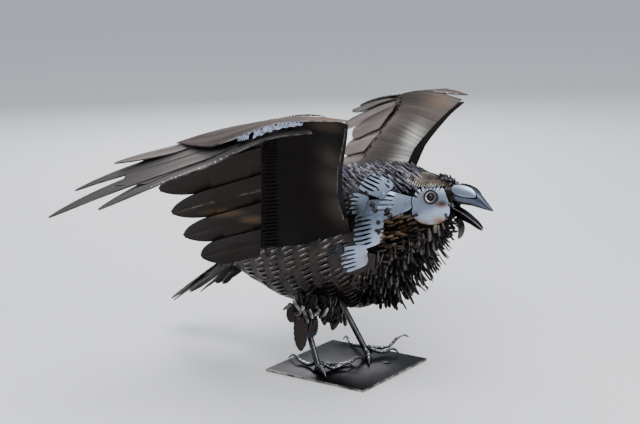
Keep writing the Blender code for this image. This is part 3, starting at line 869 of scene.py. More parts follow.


# Every finish: how it is made, its colours and its numbers. Its own colours come from the settings,
# by name with how many times as light it is.
# Ground steel as bright as it looks with a painted reflection of the sky on it.
GROUND_AND_SHEEN_BRIGHT = (0.80, 0.80, 0.74)
FINISHES = {
    "oiled black": (oiled_steel, ("black", 1), ("brown", 1), 0.16, 0.36, {"bare": (0.46, 0.44, 0.41)}),
    # Near-black as painted shade: the shell behind the cuts, the backs and rims of plates, backings behind
    # slots, and outlines under raised plates.
    "inner shell": (oiled_steel, (0.004, 0.004, 0.004), (0.009, 0.008, 0.008), 0.6, 0.8, {"coat": 0}),
    "strips": (oiled_steel, (0.006, 0.0055, 0.006), (0.026, 0.022, 0.021), 0.12, 0.30, 140.0),
    "hackle": (oiled_steel, (0.005, 0.006, 0.013), (0.095, 0.090, 0.115), 0.14, 0.30),
    "neck strip": (oiled_steel, (0.012, 0.010, 0.010), (0.17, 0.12, 0.085), 0.20, 0.36, 160.0),
    "crown": (oiled_steel, (0.022, 0.018, 0.016), (0.105, 0.080, 0.060), 0.30, 0.50, 90.0),
    "polished": (polished_steel, ("polished", 1)),
    "beak": (polished_steel, ("polished", 0.29)),
    "dull blue": (polished_steel, (0.028, 0.031, 0.042)),
    "wing top": (tempered_sheet, ("wing", 1), GROUND_AND_SHEEN_BRIGHT),
    "cap top": (tempered_sheet, (0.100, 0.096, 0.098), GROUND_AND_SHEEN_BRIGHT, 0.12, 0.9),
    "primary top": (tempered_sheet, (0.165, 0.154, 0.150), GROUND_AND_SHEEN_BRIGHT, 0.12, 0.8),
    # A lighter copy of the wing top: painted light on the far wing's feathers and roots.
    "far feather": (tempered_sheet, ("wing", 2.2), GROUND_AND_SHEEN_BRIGHT, 0.15),
    # Undersides darker than the tops as painted shade, and the near arm's underside darker still.
    "wing under": (shaded_underside_sheet, ("under", 1)),
    "arm under": (shaded_underside_sheet, ("under", 0.38), 0.06),
    "leaf": (tempered_sheet, ("wing", 0.40), (0.30, 0.30, 0.28), 0.12),
    # A darker copy of the leaf: painted shade on the tail's undersides and its lower row.
    "dark leaf": (tempered_sheet, ("wing", 0.20), (0.20, 0.19, 0.17), 0.12),
    # Painted shade on the undersides of the tail's lower row.
    "tail under": (oiled_steel, (0.012, 0.009, 0.008), (0.046, 0.034, 0.028), 0.40, 0.60, 40.0, 0.0,
                   {"rim": 0.20}),
    "bare edge": (bare_edge, ("bare", 1)),
    "dark edge": (bare_edge, ("bare", 0.30), 0.06),
    # The bar's near-white bare colour is the painted highlight along the toes' tops.
    "bar": (oiled_steel, (0.022, 0.022, 0.027), (0.12, 0.12, 0.135), 0.14, 0.30,
            {"coat": 0.5, "bare": (0.90, 0.90, 0.90)}),
    "weld": (oiled_steel, (0.020, 0.019, 0.023), (0.14, 0.14, 0.16), 0.15, 0.35, 200.0),
    "crest": (oiled_steel, (0.05, 0.06, 0.09), (0.34, 0.38, 0.50), 0.22, 0.40, 330.0),
    "base plate": (oiled_steel, ("plate", 1), ("plate", 1.7), 0.26, 0.42, 28.0, 0.0, 0.12, {"rim": 0.60}),
    "bead": (beaded_steel, (0.003, 0.003, 0.004), 0.05),
    "worn ring": (bare_edge, (0.62, 0.63, 0.64), 0.40),
}


def finish(name):
    """The finish of that name, made the first time."""
    if name in bpy.data.materials:
        return bpy.data.materials[name]
    make, *values = FINISHES[name]
    named = values.pop() if isinstance(values[-1], dict) else {}
    own = bpy.context.scene.crow_steel
    values = [share_of(own, *value) if isinstance(value, tuple) and isinstance(value[0], str) else value
              for value in values]
    return make(name, *values, **named)


# Geometry trees.


def geometry_tree(name, sizes):
    """An empty geometry tree: points going in, named sizes, a seed, two materials and a mesh coming out."""
    tree = bpy.data.node_groups.new(name, "GeometryNodeTree")
    tree.interface.new_socket("Geometry", in_out="INPUT", socket_type="NodeSocketGeometry")
    for label, kind, default in sizes:
        tree.interface.new_socket(label, in_out="INPUT", socket_type=kind).default_value = default
    tree.interface.new_socket("Face", in_out="INPUT", socket_type="NodeSocketMaterial")
    tree.interface.new_socket("Edge", in_out="INPUT", socket_type="NodeSocketMaterial")
    tree.interface.new_socket("Geometry", in_out="OUTPUT", socket_type="NodeSocketGeometry")
    return tree, tree.nodes.new("NodeGroupInput").outputs, tree.nodes.new("NodeGroupOutput").inputs


def attribute(tree, name, kind):
    """A named attribute of the geometry."""
    return add(tree, "GeometryNodeInputNamedAttribute", {"Name": name}, data_type=kind).outputs["Attribute"]


def stand_on_points(tree, given, wanted, shape, scale):
    """Stands a shape on every point, makes the instances real and sets both materials.

    An instance's length lies along its point's lean and its face along its point's facing, and
    it has a shade of its own.
    """
    turned = add(tree, "FunctionNodeAxesToRotation",
                 {"Primary Axis": attribute(tree, "lean", "FLOAT_VECTOR"),
                  "Secondary Axis": attribute(tree, "facing", "FLOAT_VECTOR")},
                 primary_axis="Y", secondary_axis="Z")
    stood = add(tree, "GeometryNodeInstanceOnPoints",
                {"Points": given["Geometry"], "Instance": shape, "Rotation": turned.outputs["Rotation"],
                 "Scale": scale})
    shade = add(tree, "FunctionNodeRandomValue", {"Min": 0.0, "Max": 1.0, "Seed": given["Seed"]},
                data_type="FLOAT")
    stored = add(tree, "GeometryNodeStoreNamedAttribute",
                 {"Geometry": stood.outputs["Instances"], "Name": "shade", "Value": shade.outputs["Value"]},
                 data_type="FLOAT", domain="INSTANCE")
    real = add(tree, "GeometryNodeRealizeInstances", {"Geometry": stored.outputs["Geometry"]})
    faced = add(tree, "GeometryNodeSetMaterial",
                {"Geometry": real.outputs["Geometry"], "Material": given["Face"]})
    edged = add(tree, "GeometryNodeSetMaterial",
                {"Geometry": faced.outputs["Geometry"], "Selection": attribute(tree, "cut_side", "BOOLEAN"),
                 "Material": given["Edge"]})
    tree.links.new(edged.outputs["Geometry"], wanted["Geometry"])
    return tree


def strips_tree(name):
    """Cut strips on points: tapered, curled and folded along the middle, each as long as its point says."""
    tree, given, wanted = geometry_tree(name, (
        ("Width", FLOAT, 0.0027), ("Thickness", FLOAT, 0.0007), ("Curl", FLOAT, 0.003),
        ("Fold", FLOAT, 0.0004), ("Steps", WHOLE, 8), ("Seed", WHOLE, 1)))
    size = add(tree, "ShaderNodeCombineXYZ", {"X": given["Width"], "Y": 1.0, "Z": given["Thickness"]})
    cube = add(tree, "GeometryNodeMeshCube",
               {"Size": size.outputs[0], "Vertices X": 3, "Vertices Y": given["Steps"], "Vertices Z": 2})
    normal = add(tree, "ShaderNodeSeparateXYZ", {0: tree.nodes.new("GeometryNodeInputNormal").outputs[0]})
    sideways = calc(tree, "GREATER_THAN", calc(tree, "ABSOLUTE", normal.outputs["X"]), 0.5)
    sided = add(tree, "GeometryNodeStoreNamedAttribute",
                {"Geometry": cube.outputs["Mesh"], "Name": "cut_side", "Value": sideways},
                data_type="BOOLEAN", domain="FACE")
    place = add(tree, "ShaderNodeSeparateXYZ", {0: tree.nodes.new("GeometryNodeInputPosition").outputs[0]})
    run = calc(tree, "ADD", place.outputs["Y"], 0.5)
    outline = add(tree, "ShaderNodeFloatCurve", {"Value": run})
    curve = outline.mapping.curves[0]
    curve.points[0].location = (0.0, 0.60)
    curve.points[1].location = (1.0, 0.50)
    curve.points.new(0.30, 0.95)
    curve.points.new(0.86, 1.0)
    outline.mapping.update()
    across = times(tree, place.outputs["X"], outline.outputs["Value"])
    curl = times(tree, given["Curl"], calc(tree, "POWER", run, 2.0))
    half = calc(tree, "DIVIDE", times(tree, across, 2.0), given["Width"])
    fold = times(tree, given["Fold"], calc(tree, "ABSOLUTE", half))
    height = calc(tree, "SUBTRACT", calc(tree, "ADD", place.outputs["Z"], curl), fold)
    moved = add(tree, "ShaderNodeCombineXYZ", {"X": across, "Y": run, "Z": height})
    bent = add(tree, "GeometryNodeSetPosition",
               {"Geometry": sided.outputs["Geometry"], "Position": moved.outputs[0]})
    wide = add(tree, "FunctionNodeRandomValue", {"Min": 0.75, "Max": 1.25, "Seed": given["Seed"]},
               data_type="FLOAT")
    scale = add(tree, "ShaderNodeCombineXYZ",
                {"X": wide.outputs["Value"], "Y": attribute(tree, "reach", "FLOAT"), "Z": 1.0})
    return stand_on_points(tree, given, wanted, bent.outputs["Geometry"], scale.outputs[0])


def beads_tree(name):
    """Rough round beads of weld metal on points, each as big as its point says."""
    tree, given, wanted = geometry_tree(name, (
        ("Roughness", FLOAT, 0.5), ("Facets", WHOLE, 2), ("Seed", WHOLE, 1)))
    ball = add(tree, "GeometryNodeMeshIcoSphere", {"Radius": 1.0, "Subdivisions": given["Facets"]})
    position = tree.nodes.new("GeometryNodeInputPosition").outputs[0]
    swell = times(tree, calc(tree, "SUBTRACT", noise_on(tree, position, 1.7, 2.0), 0.5), given["Roughness"])
    outward = add(tree, "ShaderNodeVectorMath", {0: position, "Scale": swell}, operation="SCALE")
    rough = add(tree, "GeometryNodeSetPosition",
                {"Geometry": ball.outputs["Mesh"], "Offset": outward.outputs[0]})
    spread = add(tree, "FunctionNodeRandomValue",
                 {0: (0.75, 0.8, 0.5), 1: (1.2, 1.3, 0.85), "Seed": given["Seed"]}, data_type="FLOAT_VECTOR")
    scale = add(tree, "ShaderNodeVectorMath",
                {0: spread.outputs[0], "Scale": attribute(tree, "reach", "FLOAT")}, operation="SCALE")
    return stand_on_points(tree, given, wanted, rough.outputs["Geometry"], scale.outputs[0])


def grown(name, tree_name, build, points, values, spots, slot, node):
    """A finished piece: what a geometry tree makes on points, each (place, lean, facing, reach)."""
    mesh = bpy.data.meshes.new(name)
    mesh.from_pydata([point[0] for point in points], [], [])
    for index, label in ((1, "lean"), (2, "facing")):
        vectors = mesh.attributes.new(label, "FLOAT_VECTOR", "POINT")
        vectors.data.foreach_set("vector", [value for point in points for value in point[index]])
    mesh.attributes.new("reach", "FLOAT", "POINT").data.foreach_set("value", [point[3] for point in points])
    obj = linked(name, mesh)
    tree = bpy.data.node_groups.get(tree_name) or build(tree_name)
    modifier = obj.modifiers.new(tree.name, "NODES")
    modifier.node_group = tree
    for item in tree.interface.items_tree:
        if item.in_out == "INPUT" and item.name in values:
            modifier[item.identifier] = values[item.name]
    return dress(stain(made_plain(obj, 50), spots), slot, node)


# The cut strips of each part: width as a multiple of the settings' own, curl, fold, the seed of their
# widths and shades, and the finishes of face and edge.
STRIPS = {
    "neck": (0.85, 0.0012, 0.0005, 8, "neck strip", "dark edge"),
    "ruff": (1.2, 0.0018, 0.0006, 3, "strips", "dark edge"),
    "hackles": (0.8, 0.0010, 0.0004, 9, "hackle", "bare edge"),
    "thigh": (1.2, 0.003, 0.0006, 14, "strips", "bare edge"),
    "brow": (1.1, 0.0026, 0.0004, 12, "strips", "dark edge"),
}
# The weld beads of each kind: how rough and how finely faceted they are, and their seed.
BEADS = {"clump": (0.9, 3, 4), "row": (0.5, 2, 6)}


def grow_strips(name, part, points, spots=(), node="body"):
    """The cut strips of a part of the bird, on points."""
    wide, curl, fold, seed, face, edge = STRIPS[part]
    sizes = bpy.context.scene.crow_sizes
    values = {"Width": sizes.strip_width * wide, "Thickness": sizes.strip_sheet, "Curl": curl, "Fold": fold,
              "Seed": seed, "Face": finish(face), "Edge": finish(edge)}
    grown(name, "Cut strips", strips_tree, points, values, spots, "black_steel", node)


def grow_beads(name, kind, points, look, slot, node):
    """Beads of weld metal on points."""
    rough, facets, seed = BEADS[kind]
    values = {"Roughness": rough, "Facets": facets, "Seed": seed, "Face": finish(look), "Edge": finish(look)}
    grown(name, "Weld beads", beads_tree, points, values, (), slot, node)


# The plate.

PLATE_BEVEL = 0.0004
WELD_SPOT = ((84, 62, 0), 0.0042, 0.0012)


def make_base_plate():
    """The square plate: worn bevelled edges and a raised weld spot."""
    bm = new_mesh()
    bmesh.ops.create_cube(bm, size=1)
    size = PLATE_HIGH - PLATE_LOW
    for vert in bm.verts:
        vert.co = Vector((vert.co.x * size.x, vert.co.y * size.y, (vert.co.z + 0.5) * size.z))
    bmesh.ops.bevel(bm, geom=list(bm.edges), offset=PLATE_BEVEL, segments=2, affect="EDGES", profile=0.5)
    for face in bm.faces:
        face.material_index = 0 if abs(face.normal.z) > 0.99 else 1
    spot, radius, height = WELD_SPOT
    slopes = [math.pi / 2 * ring / 5 for ring in range(5)]
    dome = [(radius * math.cos(slope), height * math.sin(slope)) for slope in slopes] + [(0, height)]
    loops = add_lathe(bm, at(*spot), Vector((0, 0, 1)), dome, 20, (0,) * 5)
    bm.faces.new(list(reversed(loops[0])))
    closed("base_plate_worn", bm, ("base plate", "bare edge"), 30, (), "plate_steel", "base_plate")


def add_lathe(bm, foot, axis, outline, sides, materials):
    """A turned shape: rings of the outline, (radius, height), about an axis. It gives the rings back."""
    turn = axis.to_track_quat("Z", "Y").to_matrix()
    loops = []
    for radius, height in outline:
        angles = turns(sides) if radius > 0 else (0,)
        loops.append([bm.verts.new(foot + turn @ Vector((radius * math.cos(a), radius * math.sin(a), height)))
                      for a in angles])
    for near, far, material in zip(loops, loops[1:], materials):
        bridge(bm, near, far, material)
    return loops


# The body.

# Darkened spots, temper colours and ground-bright spots of the body, neck and face: kind, place, reach and
# strength. The body's darkened spot is painted shade on the plates that lie under the neck plates.
BODY_SPOTS = (("soot", (120, 100, 420), (60, 60, 60), 0.9),)
NECK_SPOTS = (
    ("tint", (134, 108, 322), (14, 40, 18), 0.34),
    ("tint", (174, 100, 356), (12, 40, 18), 0.30),
    ("soot", (98, 90, 440), (10, 30, 9), 0.9),
    ("soot", (112, 100, 408), (8, 30, 8), 0.85),
    ("soot", (160, 96, 470), (5, 30, 5), 0.8),
)
RUFF_SPOTS = (("tint", (292, 40, 406), (26, 40, 11), 0.12),)
STRIP_SPOTS = (
    ("tint", (214, 80, 400), (30, 40, 34), 0.42),
    ("tint", (172, 96, 366), (26, 40, 30), 0.36),
    ("tint", (190, 90, 420), (16, 40, 12), 0.5),
)


def make_inner_shell():
    """The near-black shell that shows through the cuts, as painted shade in the hollow behind them."""
    bm = new_mesh()
    loops = []
    for share in evenly(60):
        forward = BODY[0][0] + (BODY[-1][0] - BODY[0][0]) * share
        loops.append([bm.verts.new(on_body(forward, turn, -2.0)[0]) for turn in turns(48)])
    for near, far in zip(loops, loops[1:]):
        bridge(bm, near, far)
    close_ends(bm, loops)
    closed("body_shell", bm, ("inner shell",), 180, (), "black_steel", "body")


def skin_patch(forward, turn, heading):
    """place(run, aside, lift) on the skin round a spot, in shares: a run follows the heading."""
    side = 1 if math.sin(turn) >= 0 else -1
    _, high, wide = profile(forward)
    radius = math.hypot(wide * math.cos(turn), high * math.sin(turn))
    cosine, sine = math.cos(heading), math.sin(heading)

    def place(run, aside, lift):
        ahead = run * cosine - aside * sine
        climb = run * sine + aside * cosine
        return on_body(forward + ahead, turn + side * climb / radius, lift)[0]

    return place


def add_plate(bm, forward, turn, heading, size, strips, cuts, rise, gap, lip, steps=13, rounded=0.16,
              taper=0.0, uneven=0.0):
    """One cut plate on the skin, rounded at both ends and rising towards the end of its run."""
    place = skin_patch(forward, turn, heading)
    long, wide = size

    def surface(run, across, lift):
        aside = 2 * across - 1
        end = (run - 0.5) * (1 - rounded * aside ** 2 + uneven * math.sin(11 * aside + forward))
        crown = (1 - 0.12 * (2 * run - 1) ** 4) * (1 - taper * run)
        return place(end * long, aside * wide / 2 * crown, rise[0] + (rise[1] - rise[0]) * run + lift)

    spread = {}

    def opened(edge, run):
        if edge in (0, strips):
            return 0.0
        if edge not in spread:
            spread[edge] = [(start + random.uniform(-0.04, 0.04), end + random.uniform(-0.05, 0.03))
                            for start, end in cuts]
        return max((open_cut(run, start, end) for start, end in spread[edge]), default=0.0)

    cut_sheet(bm, surface, strips, evenly(steps), (long * SHARE, wide * SHARE), opened, gap, lip)


def make_body_plates():
    """Rows of louvred plates over the whole body, each row lying on the one behind it."""
    sizes = bpy.context.scene.crow_sizes
    random.seed(11)
    bm = new_mesh()
    for row, forward in enumerate(PLATE_ROWS):
        _, high, wide = profile(forward)
        girth = math.pi * (3 * (high + wide) - math.sqrt((3 * high + wide) * (high + 3 * wide)))
        count = max(7, round(girth / PLATE_WIDE))
        for index in range(count):
            turn = 2 * math.pi * (index + 0.5 * (row % 2)) / count
            radius = math.hypot(wide * math.cos(turn), high * math.sin(turn))
            width = 2 * math.pi * radius / count * 1.16
            low = math.degrees(math.acos(math.cos(turn)))
            if forward > 150 or forward > 92 and 66 < low < 152:
                continue
            hang = min(1.0, max(0.0, (forward - 60) / 120)) * min(1.0, max(0.0, (100 - low) / 40))
            heading = math.radians(193 + 55 * hang + random.uniform(-5, 5))
            lift = 1.2 * (index % 2) + random.uniform(0, 0.8)
            rise = (PLATE_RISE[0] + lift, PLATE_RISE[1] + lift + random.uniform(-1.0, 1.6))
            start = random.uniform(0.36, 0.46)
            cuts = ((start, start + random.uniform(0.34, 0.42)),)
            add_plate(bm, forward, turn, heading, (PLATE_LONG, width), PLATE_STRIPS, cuts, rise,
                      sizes.cut_gap, sizes.lip / SHARE)
    sheet("body_plates", bm, ("oiled black", "inner shell", "bare edge"), None, CUT_PLATE, BODY_SPOTS,
          "black_steel", "body")


def turn_outwards(obj):
    """Turns each face of a sheet on the body away from the body's middle line."""
    bm = bmesh.new()
    bm.from_mesh(obj.data)
    flip = []
    for face in bm.faces:
        centre = face.calc_center_median()
        middle = profile(centre.x / SHARE)[0]
        if face.normal.dot(centre - at(centre.x / SHARE, 0, middle)) < 0:
            flip.append(face)
    bmesh.ops.reverse_faces(bm, faces=flip)
    bm.to_mesh(obj.data)
    bm.free()


def make_neck_plates():
    """Polished plates with open slots on the side of the neck, and the blued one behind them."""
    random.seed(5)
    for name, plates, look, spots in (("neck_plates", NECK_PLATES, "polished", NECK_SPOTS),
                                      ("blued_plates", FLANK_PLATES, "dull blue", ())):
        bm = new_mesh()
        for forward, turn, heading, long, wide, strips, rise, cuts, taper in plates:
            for side in (1, -1):
                add_plate(bm, forward, side * math.radians(turn), math.radians(heading), (long, wide), strips,
                          cuts, rise, NECK_CUT, NECK_LIP, 30, 0.12, taper, 0.07)
        # Their backs and rims are near-black as painted shade in the slots.
        sheet(name, bm, (look, "inner shell", "inner shell"), None, CUT_PLATE, spots, "bright_steel", "body")


def on_side(forward, turn, lift):
    """A point of the skin, the direction outwards and the direction up the side there."""
    spot, normal = on_body(forward, turn, lift)
    upward = on_body(forward, turn + math.copysign(0.02, math.sin(turn)), lift)[0] - spot
    return spot, normal, upward.normalized()


def make_neck_strips():
    """Narrow tinted strips that slant forwards and up, between the polished plates and the ruff."""
    random.seed(61)
    points = []
    for side in (1, -1):
        for row in range(9):
            for column in range(6 if row < 4 else 5):
                forward = 156 + 17 * column + random.uniform(-6, 6)
                turn = side * math.radians(60 + 5.2 * row + random.uniform(-1.4, 1.4))
                spot, normal, upward = on_side(forward, turn, 3.0 + 0.7 * column)
                slant = math.radians(random.uniform(8, 34))
                lean = Vector((math.cos(slant), 0, 0)) + upward * math.sin(slant) + normal * 0.16
                points.append((spot, lean.normalized(), normal, random.uniform(0.010, 0.018)))
    grow_strips("neck_strips", "neck", points, STRIP_SPOTS)


def ruff_reach(forward, level):
    """How long a hanging strip is at a place of the throat or breast."""
    grown_by = min(1.0, 0.3 + 1.3 * (0.25 - level))
    grown_by *= min(1.0, max(0.25, (forward - 70) / 80))
    grown_by *= max(0.42, 1 - max(0.0, forward - 235) / 120)
    return RUFF_STRIP * grown_by * random.uniform(0.55, 1.08)


def make_ruff():
    """Narrow strips that hang from the throat and breast, row over row."""
    random.seed(23)
    points = []
    for forward in RUFF_ROWS:
        _, high, wide = profile(forward)
        reach_round = math.radians(62 if forward < 150 else 76 if forward < 250 else 64)
        turn = -reach_round
        while turn < reach_round:
            spot, normal = on_body(forward + random.uniform(-5, 5), turn, 2.0)
            level = -math.cos(turn)
            length = ruff_reach(forward, level)
            wild = Vector((random.uniform(-0.3, 0.3), random.uniform(-0.3, 0.3), 0))
            wild *= 0.3 if forward > 232 else 1
            lean = (normal * 0.34 * (1.1 - level) + Vector((0.10, 0, -1.0)) + wild).normalized()
            if length > 0.004:
                points.append((spot, lean, normal + wild, length))
            turn += RUFF_PITCH / math.hypot(wide * math.cos(turn), high * math.sin(turn))
    grow_strips("ruff", "ruff", points, RUFF_SPOTS)


def make_hackles():
    """Fine strips that stand up along the back of the neck and over the shoulders."""
    random.seed(31)
    points = []
    for forward in HACKLE_ROWS:
        _, high, wide = profile(forward)
        start = 126 if forward < 110 else 146 if forward < 166 else 126
        turn = math.radians(start)
        while turn < math.radians(360 - start):
            spot, normal, upward = on_side(forward + random.uniform(-6, 6), turn, 3.0)
            slant = math.radians(random.uniform(28, 50)) * abs(math.sin(turn))
            lean = Vector((-math.cos(slant), 0, 0)) + upward * math.sin(slant)
            lean += normal * random.uniform(0.18, 0.5)
            points.append((spot, lean.normalized(), normal, random.uniform(0.008, 0.0150)))
            turn += HACKLE_PITCH / math.hypot(wide * math.cos(turn), high * math.sin(turn))
    grow_strips("hackles", "hackles", points)


# The head.


def on_flank(sections, forward, up, side, clear):
    """The point that stands clear of a skin's flank, and the skin's direction outwards there."""

    def point(a, b):
        return mirrored(at(a, skin_out(sections, a, b), b), side)

    ahead = point(forward + 1, up) - point(forward - 1, up)
    normal = ahead.cross(point(forward, up + 1) - point(forward, up - 1))
    if normal.y * side < 0:
        normal = -normal
    normal.normalize()
    return point(forward, up) + normal * clear, normal


def add_disc(bm, place, rings, sides, tone):
    """A round sheet from place(share of the radius, angle), closed at the middle. It gives the mesh back."""
    centre = bm.verts.new(place(0, 0))
    loops = [[bm.verts.new(place(ring / rings, angle)) for angle in turns(sides)]
             for ring in range(1, rings + 1)]
    for side in range(sides):
        after = (side + 1) % sides
        face_on(bm, (centre, loops[0][side], loops[0][after]), tone, ((0, 0),) * 3)
        for near, far in zip(loops, loops[1:]):
            corners = ((0, 0), (0.01, 0), (0.01, 0.01), (0, 0.01))
            face_on(bm, (near[side], far[side], far[after], near[after]), tone, corners)
    return bm


FACE_SPOTS = (
    ("tint", (252, 50, 411), (36, 40, 13), 0.42),
    ("tint", (294, 40, 417), (18, 40, 15), 0.50),
    ("tint", (300, 36, 458), (16, 40, 9), 0.50),
    ("tint", (262, 50, 478), (15, 40, 17), 0.36),
    ("soot", (306, 34, 462), (12, 40, 7), 0.85),
    ("soot", (226, 60, 440), (6, 30, 14), 0.6),
)
LORE_SPOTS = (("soot", (316, 30, 474), (16, 30, 30), 0.8),)

# The cheek plate's points round its rim, and those of them at a notch.
FACE_SIDES = 160
NOTCHED = [first + step for first in range(27, 72, 6) for step in (0, 1)]
# The waist behind the eye: its angle and its width, in radians, and its depth.
WAIST = (math.radians(188), 0.22, 0.12)
NOTCH = 0.72

CROWN_ENDS = (208, 316)


def make_face_plates():
    """The polished plate on each cheek: a lobe about the eye and a second one below it, with a near-black
    outline sheet behind its rim as painted shadow.
    """
    (middle_x, middle_z), (reach_x, reach_z) = FACE_PLATE
    waist, waist_wide, waist_deep = WAIST
    for label, side in SIDES:
        for part, grown_by, clear, thick, face in (
            ("plate", 0, FACE_SHEET / 2 + FACE_GAP, FACE_SHEET, "polished"),
            ("outline", 2.6, 0.00045, 0.0003, "inner shell"),
        ):

            def place(share, angle):
                share *= 1 - waist_deep * math.exp(-((angle - waist) / waist_wide) ** 2)
                if round(angle / 2 / math.pi * FACE_SIDES) in NOTCHED:
                    share *= NOTCH
                forward = middle_x + (reach_x + grown_by) * signed_power(math.cos(angle) * share, 0.92)
                up = middle_z + (reach_z + grown_by) * signed_power(math.sin(angle) * share, 0.92)
                return on_flank(BODY, forward, up, side, clear)[0]

            sheet(f"cheek_{part}_{label}", add_disc(new_mesh(), place, 24, FACE_SIDES, 0.3),
                  (face, "inner shell", "dark edge"), (0, side, 0), thick, FACE_SPOTS, "bright_steel",
                  f"face_plate_{label}")


def make_crown():
    """The brown sheet over the crown, its lower edges cut into teeth that lap over the cheek plates."""
    random.seed(41)
    first, last = CROWN_ENDS

    def surface(run, across, lift):
        forward = first + (last - first) * across
        low = math.radians(146 - 10 * math.sin(math.pi * across))
        turn = low + (2 * math.pi - 2 * low) * run
        edge = abs(2 * run - 1)
        return on_body(forward, turn, 3.5 + 3.6 * edge ** 4 + lift)[0]

    ends = [random.uniform(0.09, 0.17) for _ in range(40)]

    def opened(edge, run):
        share = min(run, 1 - run)
        reach = ends[edge]
        return math.sqrt(max(0.0, 1 - (share / reach) ** 3)) if share < reach else 0.0

    stations = evenly(8, 0, 0.18) + evenly(14, 0.20, 0.80) + evenly(8, 0.82, 1)
    sheet("crown", cut_sheet(new_mesh(), surface, 20, stations, (0.05, 0.04), opened, 0.24, 0.8),
          ("crown", "inner shell", "dark edge"), (0, 0, 1), CUT_PLATE, (), "black_steel", "body")


def make_lores():
    """The dark sheet between each cheek plate and the beak's root."""
    for label, side in SIDES:

        def surface(run, across, lift):
            forward, up = 302 + 18 * run, 451 + 53 * across
            out = (1 - run) * skin_out(BODY, 302, up) + run * skin_out(BEAK_UPPER, 320, up) + 2.2 - 1.2 * run
            return at(forward, side * (out + lift), up)

        sheet(f"lore_{label}", cut_sheet(new_mesh(), surface, 12, evenly(8), (0.01, 0.02), tone=0.4),
              ("oiled black", "inner shell", "dark edge"), (0, side, 0), LINING, LORE_SPOTS,
              "black_steel", "body")


# The eye from its foot to the bead: radius as a share of the ring's and height as a share of the rim's.
EYE_OUTLINE = (
    (0, 0), (1, 0), (1, 0.45), (0.96, 0.72), (0.88, 0.85), (0.78, 0.80),
    (0.74, 0.62), (0.72, 0.62), (0.58, 0.55),
)
BEAD_STEPS = 8


def make_eyes():
    """Each eye: a black bead in a dark ring with a worn bright inner edge."""
    ring, ball = EYE_RING / 2, EYE_BALL / 2
    outline = [(ring * out, EYE_RIM * up) for out, up in EYE_OUTLINE]
    outline += [(ball * 1.08, EYE_RIM * 0.45), (ball * 1.04, EYE_RIM * 0.30)]
    for step in range(BEAD_STEPS):
        slope = math.pi / 2 * step / BEAD_STEPS
        outline.append((ball * math.cos(slope), EYE_RIM * (0.30 + 1.38 * math.sin(slope))))
    outline.append((0, EYE_RIM * 1.68))
    materials = [0] * 6 + [1] * 3 + [0] + [2] * (BEAD_STEPS + 1)
    for label, side in SIDES:
        foot, normal = on_flank(BODY, *EYE_PLACE, side, FACE_SHEET + 2 * FACE_GAP)
        bm = new_mesh()
        add_lathe(bm, foot, normal, outline, 40, materials)
        bmesh.ops.recalc_face_normals(bm, faces=bm.faces)
        closed(f"eye_bead_{label}", bm, ("oiled black", "worn ring", "bead"), 50, (), "eye_steel",
               f"eye_{label}")


BEAK_SPOTS = (
    ("soot", (338, 10, 449), (38, 30, 6), 0.95),
    ("soot", (395, 6, 450), (22, 30, 5), 0.7),
    ("soot", (350, 14, 456), (34, 30, 9), 0.6),
    ("soot", (322, 10, 480), (5, 30, 24), 0.9),
)
LOWER_SPOTS = (("soot", (326, 6, 436), (16, 20, 14), 0.9),)

# How many of the upper beak's faces on each side of its keel belong to the black hollow.
HOLLOW_SIDES = 7


def on_beak(forward, turn, lift=0.0):
    """A point of the upper beak at a turn from below: it is hollow underneath, with a rim at each side."""
    middle, high, wide = section_at(BEAK_UPPER, forward)
    level = -math.cos(turn)
    hollow = 0.30 * math.exp(-(math.sin(turn) / 0.62) ** 2) if level < 0 else 0.0
    out = (wide + lift) * signed_power(math.sin(turn), 0.72)
    return at(forward, out, middle + (high + lift) * (level + hollow))


def make_beak():
    """The beak: a folded upper half with a sharp rim, a lower trough and the blunt strip under it."""
    bm = new_mesh()
    sides = 40
    loops = [[bm.verts.new(on_beak(along(BEAK_UPPER, run)[0], angle)) for angle in turns(sides)]
             for run in evenly(30)]
    for near, far in zip(loops, loops[1:]):
        for side, face in enumerate(bridge(bm, near, far, tone=0.2)):
            face.material_index = int(min(side, sides - 1 - side) < HOLLOW_SIDES)
    close_ends(bm, loops)
    closed("beak_upper_folded", bm, ("beak", "oiled black"), 50, BEAK_SPOTS, "bright_steel", "beak_upper")

    def lower(run, across, _):
        forward, middle, high, wide = along(BEAK_LOWER, run)
        aside = 2 * across - 1
        return at(forward, wide * 0.94 * aside, middle - high * 0.92 + high * 1.8 * abs(aside) ** 1.3)

    sheet("beak_lower_trough", cut_sheet(new_mesh(), lower, 16, evenly(20), (0.03, 0.012), tone=0.2),
          ("dull blue", "oiled black", "bare edge"), (0, 0, 1), SHEET, LOWER_SPOTS, "black_steel",
          "beak_lower", offset=-0.4)

    def throat(run, across, _):
        forward, up, half = along(THROAT_STRIP, run)
        return at(forward, (2 * across - 1) * half, up)

    sheet("throat_strip_bent", cut_sheet(new_mesh(), throat, 4, evenly(12), (0.02, 0.01), tone=0.1),
          ("oiled black", "oiled black", "dark edge"), (1, 0, 0), SHEET, (), "black_steel", "throat_strip")


def make_nostril_plates():
    """The pale rounded plate over each side of the beak's root, with a near-black outline sheet behind it as
    painted shadow.
    """
    middle, turned, reach, spread = NOSTRIL_COVER
    for label, side in SIDES:
        for part, grown_by, clear, thick, face in (
            ("cover", 0, 2.6, FACE_SHEET, "polished"), ("outline", 2.8, 1.4, FACE_GAP, "inner shell"),
        ):

            def place(share, angle):
                forward = middle + (reach + grown_by) * signed_power(math.cos(angle) * share, 0.9)
                turn = turned + (spread + grown_by * 0.04) * signed_power(math.sin(angle) * share, 0.9)
                return mirrored(on_beak(forward, turn, clear), side)

            sheet(f"nostril_{part}_{label}", add_disc(new_mesh(), place, 12, 60, 0.0),
                  (face, "inner shell", "inner shell"), (0, side, 0), thick, (), "bright_steel",
                  f"nostril_plate_{label}")


# The wings.


